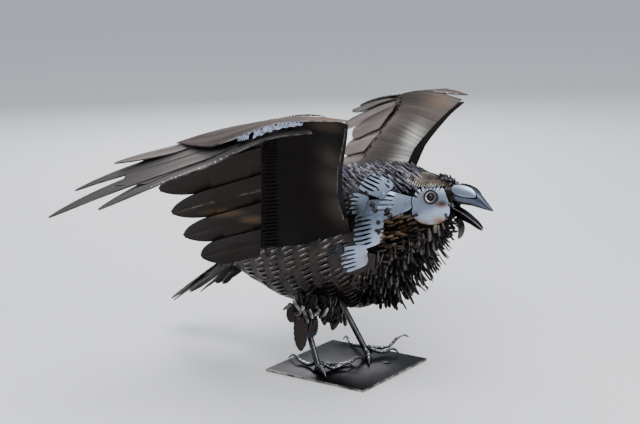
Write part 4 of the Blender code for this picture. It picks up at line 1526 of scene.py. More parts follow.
def wing_surfaces(side):
    """The surfaces of one wing, as in the construction: arm, front strip, secondaries, hand and primaries.

    The line is the middle of a secondary, or of a place between two.
    """

    def root_line(u):
        point = along((ARM_FRONT[0], *ROOT_BOW, ARM_REAR[0]), u)
        point.y = max(point.y, skin_out(BODY, point.x, point.z) + (SHEET / 2 + GAP) / SHARE)
        return point

    def crest_line(u):
        return along((ARM_FRONT[-1], *CREST_BOW, ARM_REAR[-1]), u)

    def arm(u, v):
        front, rear = along(ARM_FRONT, v), along(ARM_REAR, v)
        across = front.lerp(rear, u) + root_line(u).lerp(crest_line(u), v)
        corners = root_line(0).lerp(root_line(1), u).lerp(crest_line(0).lerp(crest_line(1), u), v)
        return mirrored(at(*(across - corners)), side)

    def strip(u, v):
        high = min(STRIP_TOP, (1 + (ARM_ROWS - 1) * v) / ARM_ROWS)
        full = math.sin(math.pi / 2 * min(2.0, high / STRIP_WIDEST))
        step = (SHEET / 2 + GAP + u * STRIP_WIDTH * (STRIP_ENDS + (1 - STRIP_ENDS) * full)) / SHARE
        return mirrored(at(*(along(ARM_FRONT, high) + Vector(STRIP_SETBACK).normalized() * step)), side)

    count = len(SECONDARY_ROOTS) - 1

    def line(where, run):
        root, tip = along(SECONDARY_ROOTS, where / count), along(SECONDARY_TIPS, where / count)
        return root.lerp(tip, 0.012 + 0.988 * run)

    def secondary(index):
        last = index == count - 1

        def place(u, v):
            run = toward_tip(u)
            shift = (2 * v - 1) * SECONDARY_WIDTH / SHARE / 2 * feather_width(run, root=1.06, tip=0.14)
            if last and shift > 0:
                shift *= LAST_SECONDARY_UPPER
            across = line(index + 0.1, run) - line(index - 0.1, run)
            inward = (line(index, 1) - line(index, 0)).cross(across).normalized()
            camber = SECONDARY_CAMBER * (1 - (2 * v - 1) ** 2) * math.sin(math.pi * min(1, run * 1.1) * 0.9)
            depth = LAST_SECONDARY_LAYER if last else 0
            point = line(index, run) + across.normalized() * shift
            return mirrored(at(*(point + inward * (shift * SECONDARY_TILT - camber - depth))), side)

        return place

    def on_hand(forward, outward, lift):
        turn, back, out = HAND_HEADING, WRIST[0] - forward, outward - WRIST[1]
        reach = back * math.cos(turn) + out * math.sin(turn)
        across = max(0.0, out * math.cos(turn) - back * math.sin(turn) - DROOP_START)
        droop = HAND_DROOP * across * min(1.0, max(0.0, reach) / DROOP_REACH)
        bow = math.sin(math.pi * min(1.0, max(0.0, reach) / CUP_REACH)) ** 1.5
        cup = HAND_CUP * bow * (1 - max(0.0, 1 - across / CUP_WIDTH) ** 2)
        return mirrored(at(forward, outward, HAND_TOP - HAND_SAG * reach ** 2 - droop + cup + lift), side)

    def hand(u, v):
        flat = along(HAND_EDGE, u).lerp(along(HAND_LEAD, u), v)
        return on_hand(flat.x, flat.y, 3)

    def primary(index):
        depth = 2 - PRIMARY_LAYER * (len(PRIMARIES) - index)
        spine = PRIMARIES[index]

        def place(u, v):
            run = toward_tip(u)
            ahead = along(spine, run + 0.01) - along(spine, run - 0.01)
            across = Vector((-ahead.y, ahead.x)).normalized()
            half = PRIMARY_WIDTH / SHARE / 2 * feather_width(run, root=0.5, tip=0.12)
            flat = along(spine, run) + across * (2 * v - 1) * half
            risen = max(0.0, (run - LIFT_FROM) / (1 - LIFT_FROM)) ** 1.3
            return on_hand(flat.x, flat.y, depth + PRIMARY_LIFTS[index] * risen)

        return place

    return SimpleNamespace(arm=arm, strip=strip, secondary=secondary, hand=hand, primary=primary, line=line)


# Where along the secondaries, counted in feathers, the band of their roots lies from its foot to its top.
ROOT_PLACES = (0.5, 1.95, 2.95, 3.95, 4.95, 5.55)
# The ground spots near the arm's front paint a reflection of the sky on ground steel.
ARM_SPOTS = (
    ("ground", (76, 130, 446), (36, 50, 40), 1.0),
    ("ground", (80, 152, 506), (38, 50, 44), 1.0),
    ("ground", (90, 178, 564), (30, 50, 36), 0.85),
    ("tint", (120, 240, 660), (50, 50, 20), 0.28),
    ("soot", (-60, 120, 330), (40, 40, 18), 0.3),
    ("soot", (40, 240, 665), (110, 60, 10), 0.25),
)
SECONDARY_SPOTS = (
    ("tint", (-200, 240, 420), (50, 60, 12), 0.40),
    ("tint", (-150, 190, 396), (30, 50, 12), 0.40),
    ("soot", (-60, 120, 330), (40, 40, 18), 0.3),
)
HAND_SPOTS = (
    ("tint", (150, 285, 680), (70, 40, 40), 0.30),
    ("tint", (20, 300, 680), (40, 30, 40), 0.26),
    ("soot", (-150, 370, 640), (12, 30, 40), 0.35),
    ("soot", (105, 350, 648), (80, 60, 13), 0.95),
)
# The slots along an arm's rear: where they start and end, as shares of the way back, how far they
# differ, how much longer a long one is, and how many feathers' cuts one of them stands for.
COMBS = {"right": (0.775, 0.965, 0.022, 0.07, 1), "left": (0.84, 0.95, 0.03, 0.0, 2)}
# Where the backing behind the slots gives way to the feather roots, as a share of the way back.
ROOTS_FROM = {"right": 0.45, "left": 0.38}
# How bright the painted highlight down each secondary's middle line is, from the body outwards.
GLINTS = (0.25, 0.45, 0.95, 0.35, 0.65)
# Weld metal under the crest: its start and end along the hand's front edge and its depth there, in shares.
CREST_WELDS = ((2 / 7, 4 / 7, 9, 18), (0.60, 0.68, 15, 10))
# Where the sheets between the primaries end, as a share of the feathers' run, from the front to the rear,
# and how far these sheets stand above the feathers' middle lines, in shares.
WEB_ENDS = (0.62, 0.60, 0.58)
WEB_RISE = 3.0


def make_arm_sheets():
    """The raised arm of each wing: a comb of slots along its rear edge, and behind them the dark feather
    roots and a backing whose near-black side is painted shade seen through the slots.
    """
    sizes = bpy.context.scene.crow_sizes
    for label, side in SIDES:
        random.seed(7)
        top = (-0.3, -side, 0.3)
        wing = wing_surfaces(side)
        near = side < 0
        start, end, ragged, opening, thinned = COMBS[label]
        strips = sizes.comb_cuts // thinned
        spread = [(start + random.uniform(-ragged, ragged), end + random.choice((0, opening)))
                  for _ in range(strips + 1)]

        def opened(edge, run):
            return open_cut(run, *spread[edge]) if 0 < edge < strips else 0.0

        stations = evenly(14, 0, 0.72) + evenly(16, 0.74, 1.0)
        comb = cut_sheet(new_mesh(), lifted(wing.arm, top), strips, stations, (0.11, 0.15), opened, 0.25,
                         tone=0.4)
        # The far arm's cut edge takes the lit top finish where the near one is dark: painted light and shade
        # on the two sides.
        sheet(f"arm_sheet_{label}", comb, ("wing top", "arm under", "dark edge" if near else "wing top"), top,
              SHEET, ARM_SPOTS, "wing_steel", f"wing_{label}_arm_sheet")

        hidden = Vector(top) * (1 if near else -1)
        place = lifted(wing.arm, hidden)

        def roots(run, across, _):
            where = np.interp(across, evenly(len(ROOT_PLACES) - 1), ROOT_PLACES)
            feather = mirrored(at(*wing.line(where, 0.14)), side) + hidden.normalized() * 3.2 * SHARE
            return along((place(0.72, across, 4), place(0.98, across, 3), feather), run)

        # The backing's near-black side is painted shade behind the slots.
        split = ROOTS_FROM[label]
        edge = "inner shell" if near else "far feather"
        behind = ("far feather", "inner shell", edge) if near else ("inner shell", "wing under", edge)
        for part, first, last, looks in (("backing", 0, split, behind),
                                         ("roots", split, 1, ("far feather", "wing under", edge))):
            sheet(f"feather_{part}_{label}",
                  cut_sheet(new_mesh(), roots, 36, evenly(6, first, last), (0.04, 0.15), tone=0.1),
                  looks, top, LINING, (), "wing_steel", f"wing_{label}_arm_sheet")


def feather_sheet(surface, towards, rib, across, steps, size, glint):
    """A long feather of sheet with a raised line down its middle and a painted highlight along it, as bright
    as the glint says.
    """
    place = lifted(surface, towards)
    edges = sorted(set(evenly(across) + [0.46, 0.54]))

    def spaced(share):
        position = share * (len(edges) - 1)
        start = min(int(position), len(edges) - 2)
        return edges[start] + (edges[start + 1] - edges[start]) * (position - start)

    def ridge(run, share):
        return math.exp(-((2 * spaced(share) - 1) / 0.10) ** 2) * min(1.0, 4 * (1 - run))

    def ribbed(run, share, _):
        return place(run, spaced(share), rib * ridge(run, share))

    return cut_sheet(new_mesh(), ribbed, len(edges) - 1, evenly(steps), size, tone=random.random(),
                     rub=lambda run, share: glint * ridge(run, share))


def make_secondaries():
    """The five dark feathers behind each arm, and the sheet that joins them."""
    random.seed(17)
    for label, side in SIDES:
        wing = wing_surfaces(side)
        top = (-0.3, -side, 0.3)
        for index, glint in enumerate(GLINTS, 1):
            feather = feather_sheet(wing.secondary(index), top, -1.6, 10, 26, (0.11, 0.044), glint)
            sheet(f"secondary_{label}_{index}", feather,
                  # The far secondaries' edges take the lit top finish where the near ones are dark: painted
                  # light and shade.
                  ("far feather", "wing under", "dark edge" if side < 0 else "wing top"), top, SHEET,
                  SECONDARY_SPOTS, "black_steel", f"wing_{label}_secondary_{index}")

        def web(run, across, _):
            where = 1 + (len(SECONDARY_ROOTS) - 2.9) * across
            return mirrored(at(*wing.line(where, 0.10 + 0.42 * run)), side)

        sheet(f"secondary_web_{label}", cut_sheet(new_mesh(), web, 36, evenly(12), (0.05, 0.16), tone=0.3),
              ("far feather", "wing under", "dark edge"), top, LINING, SECONDARY_SPOTS, "black_steel",
              f"wing_{label}_secondary_1")


def make_hands():
    """The cap of each wing's crest, its front strip and the long primaries."""
    random.seed(19)
    for label, side in SIDES:
        wing = wing_surfaces(side)
        sheet(f"hand_cap_{label}",
              cut_sheet(new_mesh(), lifted(wing.hand), 16, evenly(48), (0.22, 0.04), tone=0.5),
              ("cap top", "wing under", "bare edge"), (0, 0, 1), SHEET, HAND_SPOTS, "wing_steel",
              f"wing_{label}_hand_plate")
        # The front strips take the dark arm-underside finish: painted shade on a strip that faces down and
        # forward.
        sheet(f"front_strip_{label}",
              cut_sheet(new_mesh(), lifted(wing.strip), 40, evenly(3), (0.014, 0.13), tone=0.1),
              ("arm under", "arm under", "dark edge"), (1, 0, 0), SHEET, (), "black_steel",
              f"wing_{label}_front_strip")

        # The far primaries' undersides and edges take lighter finishes than the near ones: painted light.
        looks = ("primary top", *(("wing under", "dark edge") if side < 0 else ("far feather", "wing top")))
        for index in range(len(PRIMARIES)):
            feather = feather_sheet(wing.primary(index), (0, 0, 1), 1.4, 10, 32, (0.16, 0.033), 0.35)
            sheet(f"primary_{label}_{index + 1}", feather, looks, (0, 0, 1), SHEET, HAND_SPOTS, "wing_steel",
                  f"wing_{label}_primary_{index + 1}")
        for index, end in enumerate(WEB_ENDS):
            ahead, behind = wing.primary(index), wing.primary(index + 1)
            web = lifted(lambda run, across: ahead(run * end, 0.5).lerp(behind(run * end, 0.5), across))
            joined = cut_sheet(new_mesh(), lambda run, across, _: web(run, across, WEB_RISE), 6, evenly(24),
                               (0.10, 0.03), tone=0.3)
            sheet(f"primary_web_{label}_{index + 1}", joined, looks, (0, 0, 1), CUT_PLATE, HAND_SPOTS,
                  "wing_steel", f"wing_{label}_primary_{index + 1}")

        bm = new_mesh()
        for start, end, shallow, depth in CREST_WELDS:

            def weld_strip(run, across, _):
                deep = (shallow + (depth - shallow) * run) * across * (1 + 0.12 * math.sin(40 * run))
                edge = wing.hand(start + (end - start) * run, 1)
                return edge + Vector((0, 0.35 * side, -1)).normalized() * deep * SHARE

            cut_sheet(bm, weld_strip, 5, evenly(24), (0.05, 0.008), tone=0.5)
        sheet(f"crest_strip_{label}", bm, ("crest", "wing under", "bare edge"), (0, side, 0), CUT_PLATE, (),
              "wing_steel", f"wing_{label}_hand_plate")


# The lower row and the undersides take darker finishes: painted shade beneath the top row.
TAIL_LOOKS = {"top": ("leaf", "dark leaf", "dark edge"), "under": ("dark leaf", "tail under", "dark edge")}


def tail_feather(high, turn, length, slope, depth):
    """The surface of a feather of the tail."""
    heading = Vector((-math.cos(turn), math.sin(turn)))
    across = Vector((heading.y, -heading.x))
    foot = (SHEET + GAP) / SHARE + TAIL_WIDTH / SHARE / 4 * abs(math.tan(turn))

    def place(u, v):
        run = toward_tip(u)
        half = TAIL_WIDTH / SHARE / 2 * feather_width(run, root=0.5, tip=0.2)
        flat = Vector((TAIL_ROOT, 0)) + heading * (foot + run * (length - foot)) + across * (2 * v - 1) * half
        sunk = TAIL_ROOF * flat.y ** 2 + depth * math.hypot(1, slope)
        return at(flat.x, flat.y, high + (flat.x - TAIL_ROOT) * slope - sunk)

    return place


def make_tail():
    """Long blades that slope back from the rump, over shorter and broader feathers."""
    random.seed(29)
    pitch = TAIL_LAYER * (SHEET + GAP) / SHARE
    for row, high, feathers in TAIL_ROWS:
        for index, (turn, length, slope) in enumerate(feathers):
            for label, side in (("left", 1), ("right", -1)) if turn else (("middle", 0),):
                depth = pitch * (2 * index - (side > 0) + (row == "under"))
                surface = tail_feather(high, math.radians(turn) * side, length, slope, depth)
                blade = feather_sheet(surface, (0, 0, 1), 1.2, 8, 22, (length * SHARE, 0.023), 0.3)
                sheet(f"tail_{row}_feather_{label}_{index + 1}", blade, TAIL_LOOKS[row], (0.3, 0, 1), SHEET,
                      (), "wing_steel", f"tail_{row}_{label}_{index + 1}")


# Legs.


def bar_mesh(path, radii, sides):
    """A round bar along a path with a radius at each point, closed by flat ends."""
    bm = new_mesh()
    ahead = (path[1] - path[0]).normalized()
    side_way = ahead.orthogonal().normalized()
    loops = []
    for index, (point, radius) in enumerate(zip(path, radii)):
        before, after = path[max(index - 1, 0)], path[min(index + 1, len(path) - 1)]
        new_ahead = (after - before).normalized()
        side_way = (ahead.rotation_difference(new_ahead) @ side_way).normalized()
        ahead = new_ahead
        other = ahead.cross(side_way)
        loops.append([bm.verts.new(point + (side_way * math.cos(a) + other * math.sin(a)) * radius)
                      for a in turns(sides)])
    for near, far in zip(loops, loops[1:]):
        bridge(bm, near, far)
    close_ends(bm, loops)
    return bm


def make_toes():
    """Bent toes that taper to claws, with a painted highlight along their tops."""
    for label, toes in (("right", RIGHT_TOES), ("left", LEFT_TOES)):
        for name, points in toes.items():
            steps = 9 * len(points)
            path, radii = [], []
            for step in range(steps):
                share = step / (steps - 1)
                hammered = 1 + 0.07 * math.sin(step * 1.3 + len(name))
                radius = CLAW_TIP / 2 + (TOE_ROD - CLAW_TIP) / 2 * (1 - share ** 2.2) * hammered
                forward, left, lift = along(points, share)
                path.append(at(forward, left, max(0, lift)) + Vector((0, 0, radius + GAP)))
                radii.append(radius)
            bm = bar_mesh(path, radii, 14)
            bm.normal_update()
            worn = bm.verts.layers.float["worn"]
            # Each point is marked worn by how far it faces up: a painted highlight along the toe's top.
            for vert in bm.verts:
                vert[worn] = math.sqrt(max(0.0, vert.normal.z))
            closed(f"toe_bar_{label}_{name}", bm, ("bar",), 60, (), "black_steel", f"toe_{label}_{name}")


def make_legs():
    """The round bar of each leg."""
    steps = 12
    for label, (ankle, knee) in LEGS.items():
        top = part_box(f"leg_{label}")[1].z
        ankle, knee = at(*ankle), at(*knee)
        run = (knee - ankle).normalized()
        length = (top - ankle.z) / run.z - LEG_ROD / 2 * math.hypot(run.x, run.y) / run.z
        path = [ankle + run * length * step / steps for step in range(steps + 1)]
        closed(f"leg_bar_{label}", bar_mesh(path, [LEG_ROD / 2] * len(path), 24), ("bar",), 60, (),
               "black_steel", f"leg_{label}")


# The leaves of each thigh: root and tip in shares, width, how far the tip curls out, and the finish.
RIGHT_LEAVES = (
    ((-100, -100, 170), (-97, -106, 122), 36, 4, "brown"),
    ((-76, -104, 152), (-65, -108, 53), 44, 6, "brown"),
    ((-26, -108, 146), (-40, -110, 92), 40, 2, "blue"),
    ((-88, -113, 182), (-62, -114, 158), 8, 3, "bright"),
    ((-60, -114, 172), (-36, -115, 132), 8, 4, "bright"),
    ((-80, -113, 148), (-62, -114, 137), 7, 3, "bright"),
    ((-84, -124, 176), (-104, -128, 160), 7, 4, "bright"),
    ((-44, -124, 176), (-58, -128, 152), 7, 5, "bright"),
    ((-28, -124, 170), (-14, -128, 150), 7, 4, "bright"),
    ((4, -122, 176), (-8, -126, 158), 7, 4, "bright"),
    ((26, -120, 182), (16, -124, 160), 7, 4, "bright"),
    ((-30, -113, 140), (-34, -115, 104), 7, 3, "black"),
    ((-20, -112, 142), (-26, -114, 110), 7, 3, "black"),
    ((-44, -113, 138), (-44, -115, 106), 7, 3, "black"),
    ((46, -92, 196), (28, -104, 122), 30, 3, "black"),
    ((-10, -90, 200), (-10, -96, 146), 34, 2, "black"),
    ((18, -90, 200), (12, -96, 150), 30, 2, "black"),
    ((-50, -92, 198), (-48, -98, 152), 30, 2, "black"),
    ((-48, -84, 190), (-56, -84, 104), 34, 0, "black"),
    ((-90, -84, 190), (-84, -84, 100), 34, 0, "black"),
)
LEFT_LEAVES = (
    ((-150, 84, 190), (-140, 88, 108), 36, 6, "brown"),
    ((-118, 88, 196), (-112, 92, 84), 36, 6, "brown"),
    ((-92, 88, 196), (-96, 90, 96), 34, 5, "blue"),
    ((-140, 56, 190), (-128, 54, 96), 36, -4, "black"),
    ((-108, 54, 196), (-104, 52, 74), 36, -4, "black"),
    ((-84, 56, 190), (-86, 56, 90), 32, -4, "black"),
    ((-70, 74, 190), (-76, 76, 110), 28, 2, "black"),
)
LEAF_LOOKS = {"brown": "leaf", "blue": "dull blue", "bright": "bare edge", "black": "oiled black"}
# The strips over each thigh: how many, and for each leg between which places forward and how far out.
THIGH_STRIPS = 70
THIGH_PLACES = (("right", (-80, 56), -100), ("left", (-150, -58), 88))


def add_leaf(bm, root, tip, width, curl):
    """A leaf of sheet from root to tip, rounded, notched along its edges, cambered and curled outwards."""
    root, tip = Vector(root), Vector(tip)
    outward = Vector((0, math.copysign(1, root.y), 0))
    aside = (tip - root).cross(outward).normalized()

    def surface(run, share, _):
        side = 2 * share - 1
        half = width / 2 * feather_width(run, root=0.62, tip=0.12, widest=0.55)
        half *= 1 - 0.10 * abs(math.sin(7 * math.pi * run))
        bend = curl * run ** 2 - 2.5 * side ** 2
        return at(*(root.lerp(tip, run) + aside * side * half + outward * bend))

    cut_sheet(bm, surface, 6, evenly(28), (0.04, 0.012), tone=random.random())


def make_thighs():
    """The leaves and strips that hang over the top of each leg."""
    random.seed(43)
    for label, leaves in (("right", RIGHT_LEAVES), ("left", LEFT_LEAVES)):
        for kind, look in LEAF_LOOKS.items():
            chosen = [leaf for leaf in leaves if leaf[4] == kind]
            if not chosen:
                continue
            bm = new_mesh()
            for root, tip, width, curl, _ in chosen:
                add_leaf(bm, root, tip, width, curl)
            sheet(f"thigh_leaves_{label}_{kind}", bm, (look, "oiled black", "dark edge"),
                  (0, math.copysign(1, leaves[0][0][1]), 0), SHEET, (), "black_steel", f"thigh_{label}")

    for label, (first, last), outward in THIGH_PLACES:
        points = []
        for _ in range(THIGH_STRIPS):
            spot = at(random.uniform(first, last), outward + random.uniform(-8, 10), random.uniform(164, 206))
            lean = Vector((random.uniform(-0.6, 0.6), math.copysign(random.uniform(0, 0.4), outward), -1))
            facing = Vector((random.uniform(-0.5, 0.5), math.copysign(1, outward), 0.3))
            points.append((spot, lean.normalized(), facing, random.uniform(0.008, 0.019)))
        grow_strips(f"thigh_strips_{label}", "thigh", points, node=f"thigh_{label}")


def make_brow():
    """Short curled strips that stand up above the brow."""
    random.seed(67)
    points = []
    for _ in range(22):
        forward, turn = random.uniform(280, 304), math.pi + random.uniform(-0.35, 0.35)
        spot, normal = on_body(forward, turn, 3.0)
        lean = Vector((random.uniform(-1.1, 0.3), random.uniform(-0.3, 0.3), 0))
        lean += normal * random.uniform(0.5, 1.2)
        points.append((spot, lean.normalized(), Vector((-1, 0, 0.4)), random.uniform(0.0030, 0.0048)))
    grow_strips("brow_strips", "brow", points)


# Weld metal, each clump's place and reach.
ANKLE_WELDS = (
    ((-22, -90, 11), 0.0042), ((-28, -86, 17), 0.0034), ((11, 82, 12), 0.0042), ((6, 82, 20), 0.0034),
)
HEAD_WELDS = (
    ((308, 0, 511), 0.0026), ((298, 7, 514), 0.0024), ((298, -7, 514), 0.0024), ((288, 0, 518), 0.0024),
    ((320, 0, 504), 0.0022), ((316, 14, 495), 0.0016), ((316, -14, 495), 0.0016),
    ((316, 27, 460), 0.0018), ((324, 24, 457), 0.0016), ((316, -27, 460), 0.0018), ((324, -24, 457), 0.0016),
)
THIGH_WELDS = (
    ((-64, -106, 168), 0.0030), ((-50, -106, 158), 0.0030), ((-34, -106, 170), 0.0030),
    ((-16, -106, 176), 0.0030), ((-132, 92, 180), 0.0030), ((-108, 92, 184), 0.0030),
    ((-86, 92, 178), 0.0030),
)
# Weld metal between the neck's plates: place along the bird and turn from the keel, in degrees.
NECK_WELDS = ((150, 114), (142, 119), (187, 106), (180, 112), (164, 94), (160, 102), (174, 84), (120, 132))
# Rows of beads and dots on a wing: the surface, start and end along it, place across it, how many and
# how big.
BEAD_ROWS = (
    ("hand", 0.04, 0.55, 0.03, 34, 1.0), ("primary", 0.25, 0.60, 0.05, 18, 0.8),
    ("hand", 0.60, 0.63, 0.96, 3, 2.0), ("hand", 0.66, 0.86, 0.95, 9, 1.3),
)
DOT_ROWS = (("hand", 0.30, 0.56, 0.99, 11, 1.2),)


def clump(spots, spread, count):
    """Points for a rough clump of weld metal about each spot."""
    points = []
    for spot, reach in spots:
        for _ in range(count):
            way = Vector((random.gauss(0, 1), random.gauss(0, 1), random.gauss(0, 1))).normalized()
            points.append((at(*spot) + way * spread * reach * random.uniform(0.2, 1.0), way,
                           way.orthogonal(), reach * random.uniform(0.5, 1.0)))
    return points


def bead_row(surface, start, end, across, count, size):
    """Points for a row of beads on a surface, above it near its rear edge and below it near its front."""
    place = lifted(surface)
    points = []
    for step in range(count):
        run = start + (end - start) * step / (count - 1)
        spot = place(run, across + random.uniform(-0.01, 0.01), 1.6 if across < 0.5 else -2.2)
        ahead = surface(run + 0.01, across) - surface(run - 0.01, across)
        reach = bpy.context.scene.crow_sizes.bead / 2 * size * random.uniform(0.7, 1.2)
        points.append((spot, ahead.normalized(), Vector((0, 0, 1)), reach))
    return points


def make_welds():
    """Weld metal: clumps at the ankles, thighs, neck and brow, and rows of beads on the wings."""
    random.seed(53)
    neck = []
    for forward, turn in NECK_WELDS:
        for side in (1, -1):
            spot = on_body(forward, side * math.radians(turn), 7.0)[0] - Vector((0, 0, PLATE_THICKNESS))
            neck.append((spot / SHARE, 0.0026))
    for name, spots, look, node in (
        ("ankle_welds", ANKLE_WELDS, "weld", "leg_right"), ("brow_welds", HEAD_WELDS, "weld", "body"),
        ("thigh_welds", THIGH_WELDS, "weld", "thigh_right"), ("neck_welds", neck, "oiled black", "body"),
    ):
        grow_beads(name, "clump", clump(spots, 0.9, 7), look, "black_steel", node)
    for label, side in SIDES:
        wing = wing_surfaces(side)
        surfaces = {"hand": wing.hand, "primary": wing.primary(0)}
        for kind, rows, look in (("beads", BEAD_ROWS, "worn ring"), ("dots", DOT_ROWS, "inner shell")):
            points = [point for where, *row in rows for point in bead_row(surfaces[where], *row)]
            grow_beads(f"wing_{kind}_{label}", "row", points, look, "wing_steel",
                       f"wing_{label}_hand_plate")


# The studio.

# Each light: its place, what it points at, its size and its share of the key light's power.
LIGHTS = {
    "above": ((0.35, -0.45, 1.7), (0, 0, 0.15), 1.5, 1),
    "side": ((1.7, -0.5, 0.9), (0.1, 0, 0.2), 0.9, 0.55),
    "behind": ((-1.1, 1.2, 1.1), (0, 0, 0.2), 1.0, 0.7),
}


def make_floor(shade):
    """The pale floor, a little darker in clouds."""
    bm = bmesh.new()
    bmesh.ops.create_grid(bm, x_segments=1, y_segments=1, size=30)
    floor = put("floor", bm, ())
    material = bpy.data.materials.new("pale floor")
    material.use_nodes = True
    tree = material.node_tree
    shader = tree.nodes["Principled BSDF"]
    noise = add(tree, "ShaderNodeTexNoise", {"Scale": 3.0, "Detail": 3.0})
    clouds = mixed(tree, span(tree, noise.outputs["Fac"], 0.3, 0.7, 0, 0.12), colour(shade),
                   colour(shade, 0.9))
    tree.links.new(clouds, shader.inputs["Base Color"])
    shader.inputs["Roughness"].default_value = 0.7
    floor.data.materials.append(material)


def make_sky(shade, strength):
    """Light from all round, brighter from above."""
    world = bpy.context.scene.world or bpy.data.worlds.new("studio")
    bpy.context.scene.world = world
    world.use_nodes = True
    tree = world.node_tree
    backdrop = tree.nodes["Background"]
    way = add(tree, "ShaderNodeSeparateXYZ", {0: tree.nodes.new("ShaderNodeTexCoord").outputs["Object"]})
    height = span(tree, way.outputs["Z"], 0.0, 0.75)
    tree.links.new(mixed(tree, height, colour(shade, 0.22), colour(shade)), backdrop.inputs["Color"])
    backdrop.inputs["Strength"].default_value = strength


def make_studio():
    """A pale floor, soft light from above and around, and the camera at the photograph's angle."""
    studio = bpy.context.scene.crow_studio
    make_floor(tuple(studio.floor))
    make_sky(tuple(studio.sky), studio.sky_light)
    for name, (place, aim, size, power) in LIGHTS.items():
        light = bpy.data.lights.new(name, "AREA")
        light.size = size
        light.energy = studio.key * power
        lamp = linked(name, light)
        lamp.location = place
        lamp.rotation_euler = (Vector(aim) - Vector(place)).to_track_quat("-Z", "Y").to_euler()

    camera = bpy.data.cameras.new("camera")
    camera.sensor_width = 36
    camera.lens = CAMERA_LENS
    camera.clip_end = 100
    eye = linked("camera", camera)
    turned = Matrix.Rotation(CAMERA_TURN, 3, "Z") @ Matrix.Rotation(math.pi / 2 - CAMERA_TILT, 3, "X")
    turned = turned @ Matrix.Rotation(CAMERA_ROLL, 3, "Z")
    eye.matrix_world = Matrix.Translation(EYE) @ turned.to_4x4()
    bpy.context.scene.camera = eye


class CROW_OT_base_plate(bpy.types.Operator):
    """Make the square plate"""

    bl_idname = "crow.base_plate"
    bl_label = "Base plate"
    bl_options = {"REGISTER", "UNDO"}

    def execute(self, context):
        make_base_plate()
        return {"FINISHED"}


class CROW_OT_body(bpy.types.Operator):
    """Make the inner shell and the shingled plates of the body"""

    bl_idname = "crow.body"
    bl_label = "Body"
    bl_options = {"REGISTER", "UNDO"}

    def execute(self, context):
        make_inner_shell()
        make_body_plates()
        return {"FINISHED"}


class CROW_OT_neck(bpy.types.Operator):
    """Make the polished plates and tinted strips of the neck"""

    bl_idname = "crow.neck"
    bl_label = "Neck plates"
    bl_options = {"REGISTER", "UNDO"}

    def execute(self, context):
        make_neck_plates()
        make_neck_strips()
        return {"FINISHED"}


class CROW_OT_ruff(bpy.types.Operator):
    """Make the hanging strips of the throat and the hackles of the nape"""

    bl_idname = "crow.ruff"
    bl_label = "Ruff and hackles"
    bl_options = {"REGISTER", "UNDO"}

    def execute(self, context):
        make_ruff()
        make_hackles()
        return {"FINISHED"}


class CROW_OT_head(bpy.types.Operator):
    """Make the crown, the brow, the cheek plates and the eyes"""

    bl_idname = "crow.head"
    bl_label = "Head"
    bl_options = {"REGISTER", "UNDO"}

    def execute(self, context):
        make_face_plates()
        make_lores()
        make_crown()
        make_brow()
        make_eyes()
        return {"FINISHED"}


class CROW_OT_beak(bpy.types.Operator):
    """Make both halves of the beak and the plates over the nostrils"""

    bl_idname = "crow.beak"
    bl_label = "Beak"
    bl_options = {"REGISTER", "UNDO"}

    def execute(self, context):
        make_beak()
        make_nostril_plates()
        return {"FINISHED"}


class CROW_OT_arms(bpy.types.Operator):
    """Make the raised arms of the wings and the feathers behind them"""

    bl_idname = "crow.arms"
    bl_label = "Wing arms"
    bl_options = {"REGISTER", "UNDO"}

    def execute(self, context):
        make_arm_sheets()
        make_secondaries()
        return {"FINISHED"}


class CROW_OT_hands(bpy.types.Operator):
    """Make the caps, front strips and primaries of the wings"""

    bl_idname = "crow.hands"
    bl_label = "Wing hands"
    bl_options = {"REGISTER", "UNDO"}

    def execute(self, context):
        make_hands()
        return {"FINISHED"}


class CROW_OT_tail(bpy.types.Operator):
    """Make the tail feathers"""

    bl_idname = "crow.tail"
    bl_label = "Tail"
    bl_options = {"REGISTER", "UNDO"}

    def execute(self, context):
        make_tail()
        return {"FINISHED"}


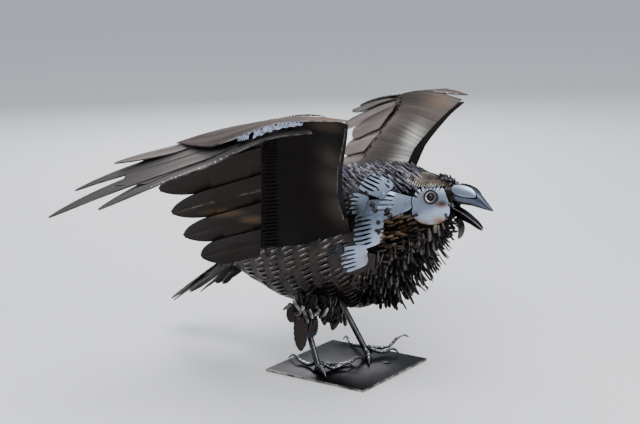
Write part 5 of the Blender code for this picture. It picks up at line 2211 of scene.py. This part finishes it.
class CROW_OT_legs(bpy.types.Operator):
    """Make the legs, thighs and toes"""

    bl_idname = "crow.legs"
    bl_label = "Legs"
    bl_options = {"REGISTER", "UNDO"}

    def execute(self, context):
        make_legs()
        make_thighs()
        make_toes()
        return {"FINISHED"}


class CROW_OT_welds(bpy.types.Operator):
    """Make the weld beads and clumps"""

    bl_idname = "crow.welds"
    bl_label = "Welds"
    bl_options = {"REGISTER", "UNDO"}

    def execute(self, context):
        make_welds()
        return {"FINISHED"}


class CROW_OT_studio(bpy.types.Operator):
    """Make the floor, the lights and the camera"""

    bl_idname = "crow.studio"
    bl_label = "Studio"
    bl_options = {"REGISTER", "UNDO"}

    def execute(self, context):
        make_studio()
        return {"FINISHED"}


OPERATORS = (
    CROW_OT_studio, CROW_OT_base_plate, CROW_OT_body, CROW_OT_neck, CROW_OT_ruff, CROW_OT_head, CROW_OT_beak,
    CROW_OT_arms, CROW_OT_hands, CROW_OT_tail, CROW_OT_legs, CROW_OT_welds,
)


class CROW_PT_panel(bpy.types.Panel):
    """The steps of building the crow, in order"""

    bl_idname = "CROW_PT_panel"
    bl_label = "Welded steel crow"
    bl_space_type = "VIEW_3D"
    bl_region_type = "UI"
    bl_category = "Crow"

    def draw(self, context):
        for settings in (context.scene.crow_steel, context.scene.crow_sizes, context.scene.crow_studio):
            for name in settings.__annotations__:
                self.layout.prop(settings, name)
        for operator in OPERATORS:
            self.layout.operator(operator.bl_idname)


SETTINGS = {"crow_steel": CrowSteel, "crow_sizes": CrowSizes, "crow_studio": CrowStudio}
CLASSES = (*SETTINGS.values(), *OPERATORS, CROW_PT_panel)


def register():
    """Registers the classes and gives the scene its settings."""
    for cls in CLASSES:
        bpy.utils.register_class(cls)
    for name, cls in SETTINGS.items():
        setattr(bpy.types.Scene, name, PointerProperty(type=cls))


def unregister():
    """Takes the settings and the classes out again."""
    for name in SETTINGS:
        delattr(bpy.types.Scene, name)
    for cls in reversed(CLASSES):
        bpy.utils.unregister_class(cls)


def main():
    """Builds the whole crow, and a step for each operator."""
    register()
    for operator in OPERATORS:
        category, name = operator.bl_idname.split(".")
        getattr(getattr(bpy.ops, category), name)()


if __name__ == "__main__":
    main()
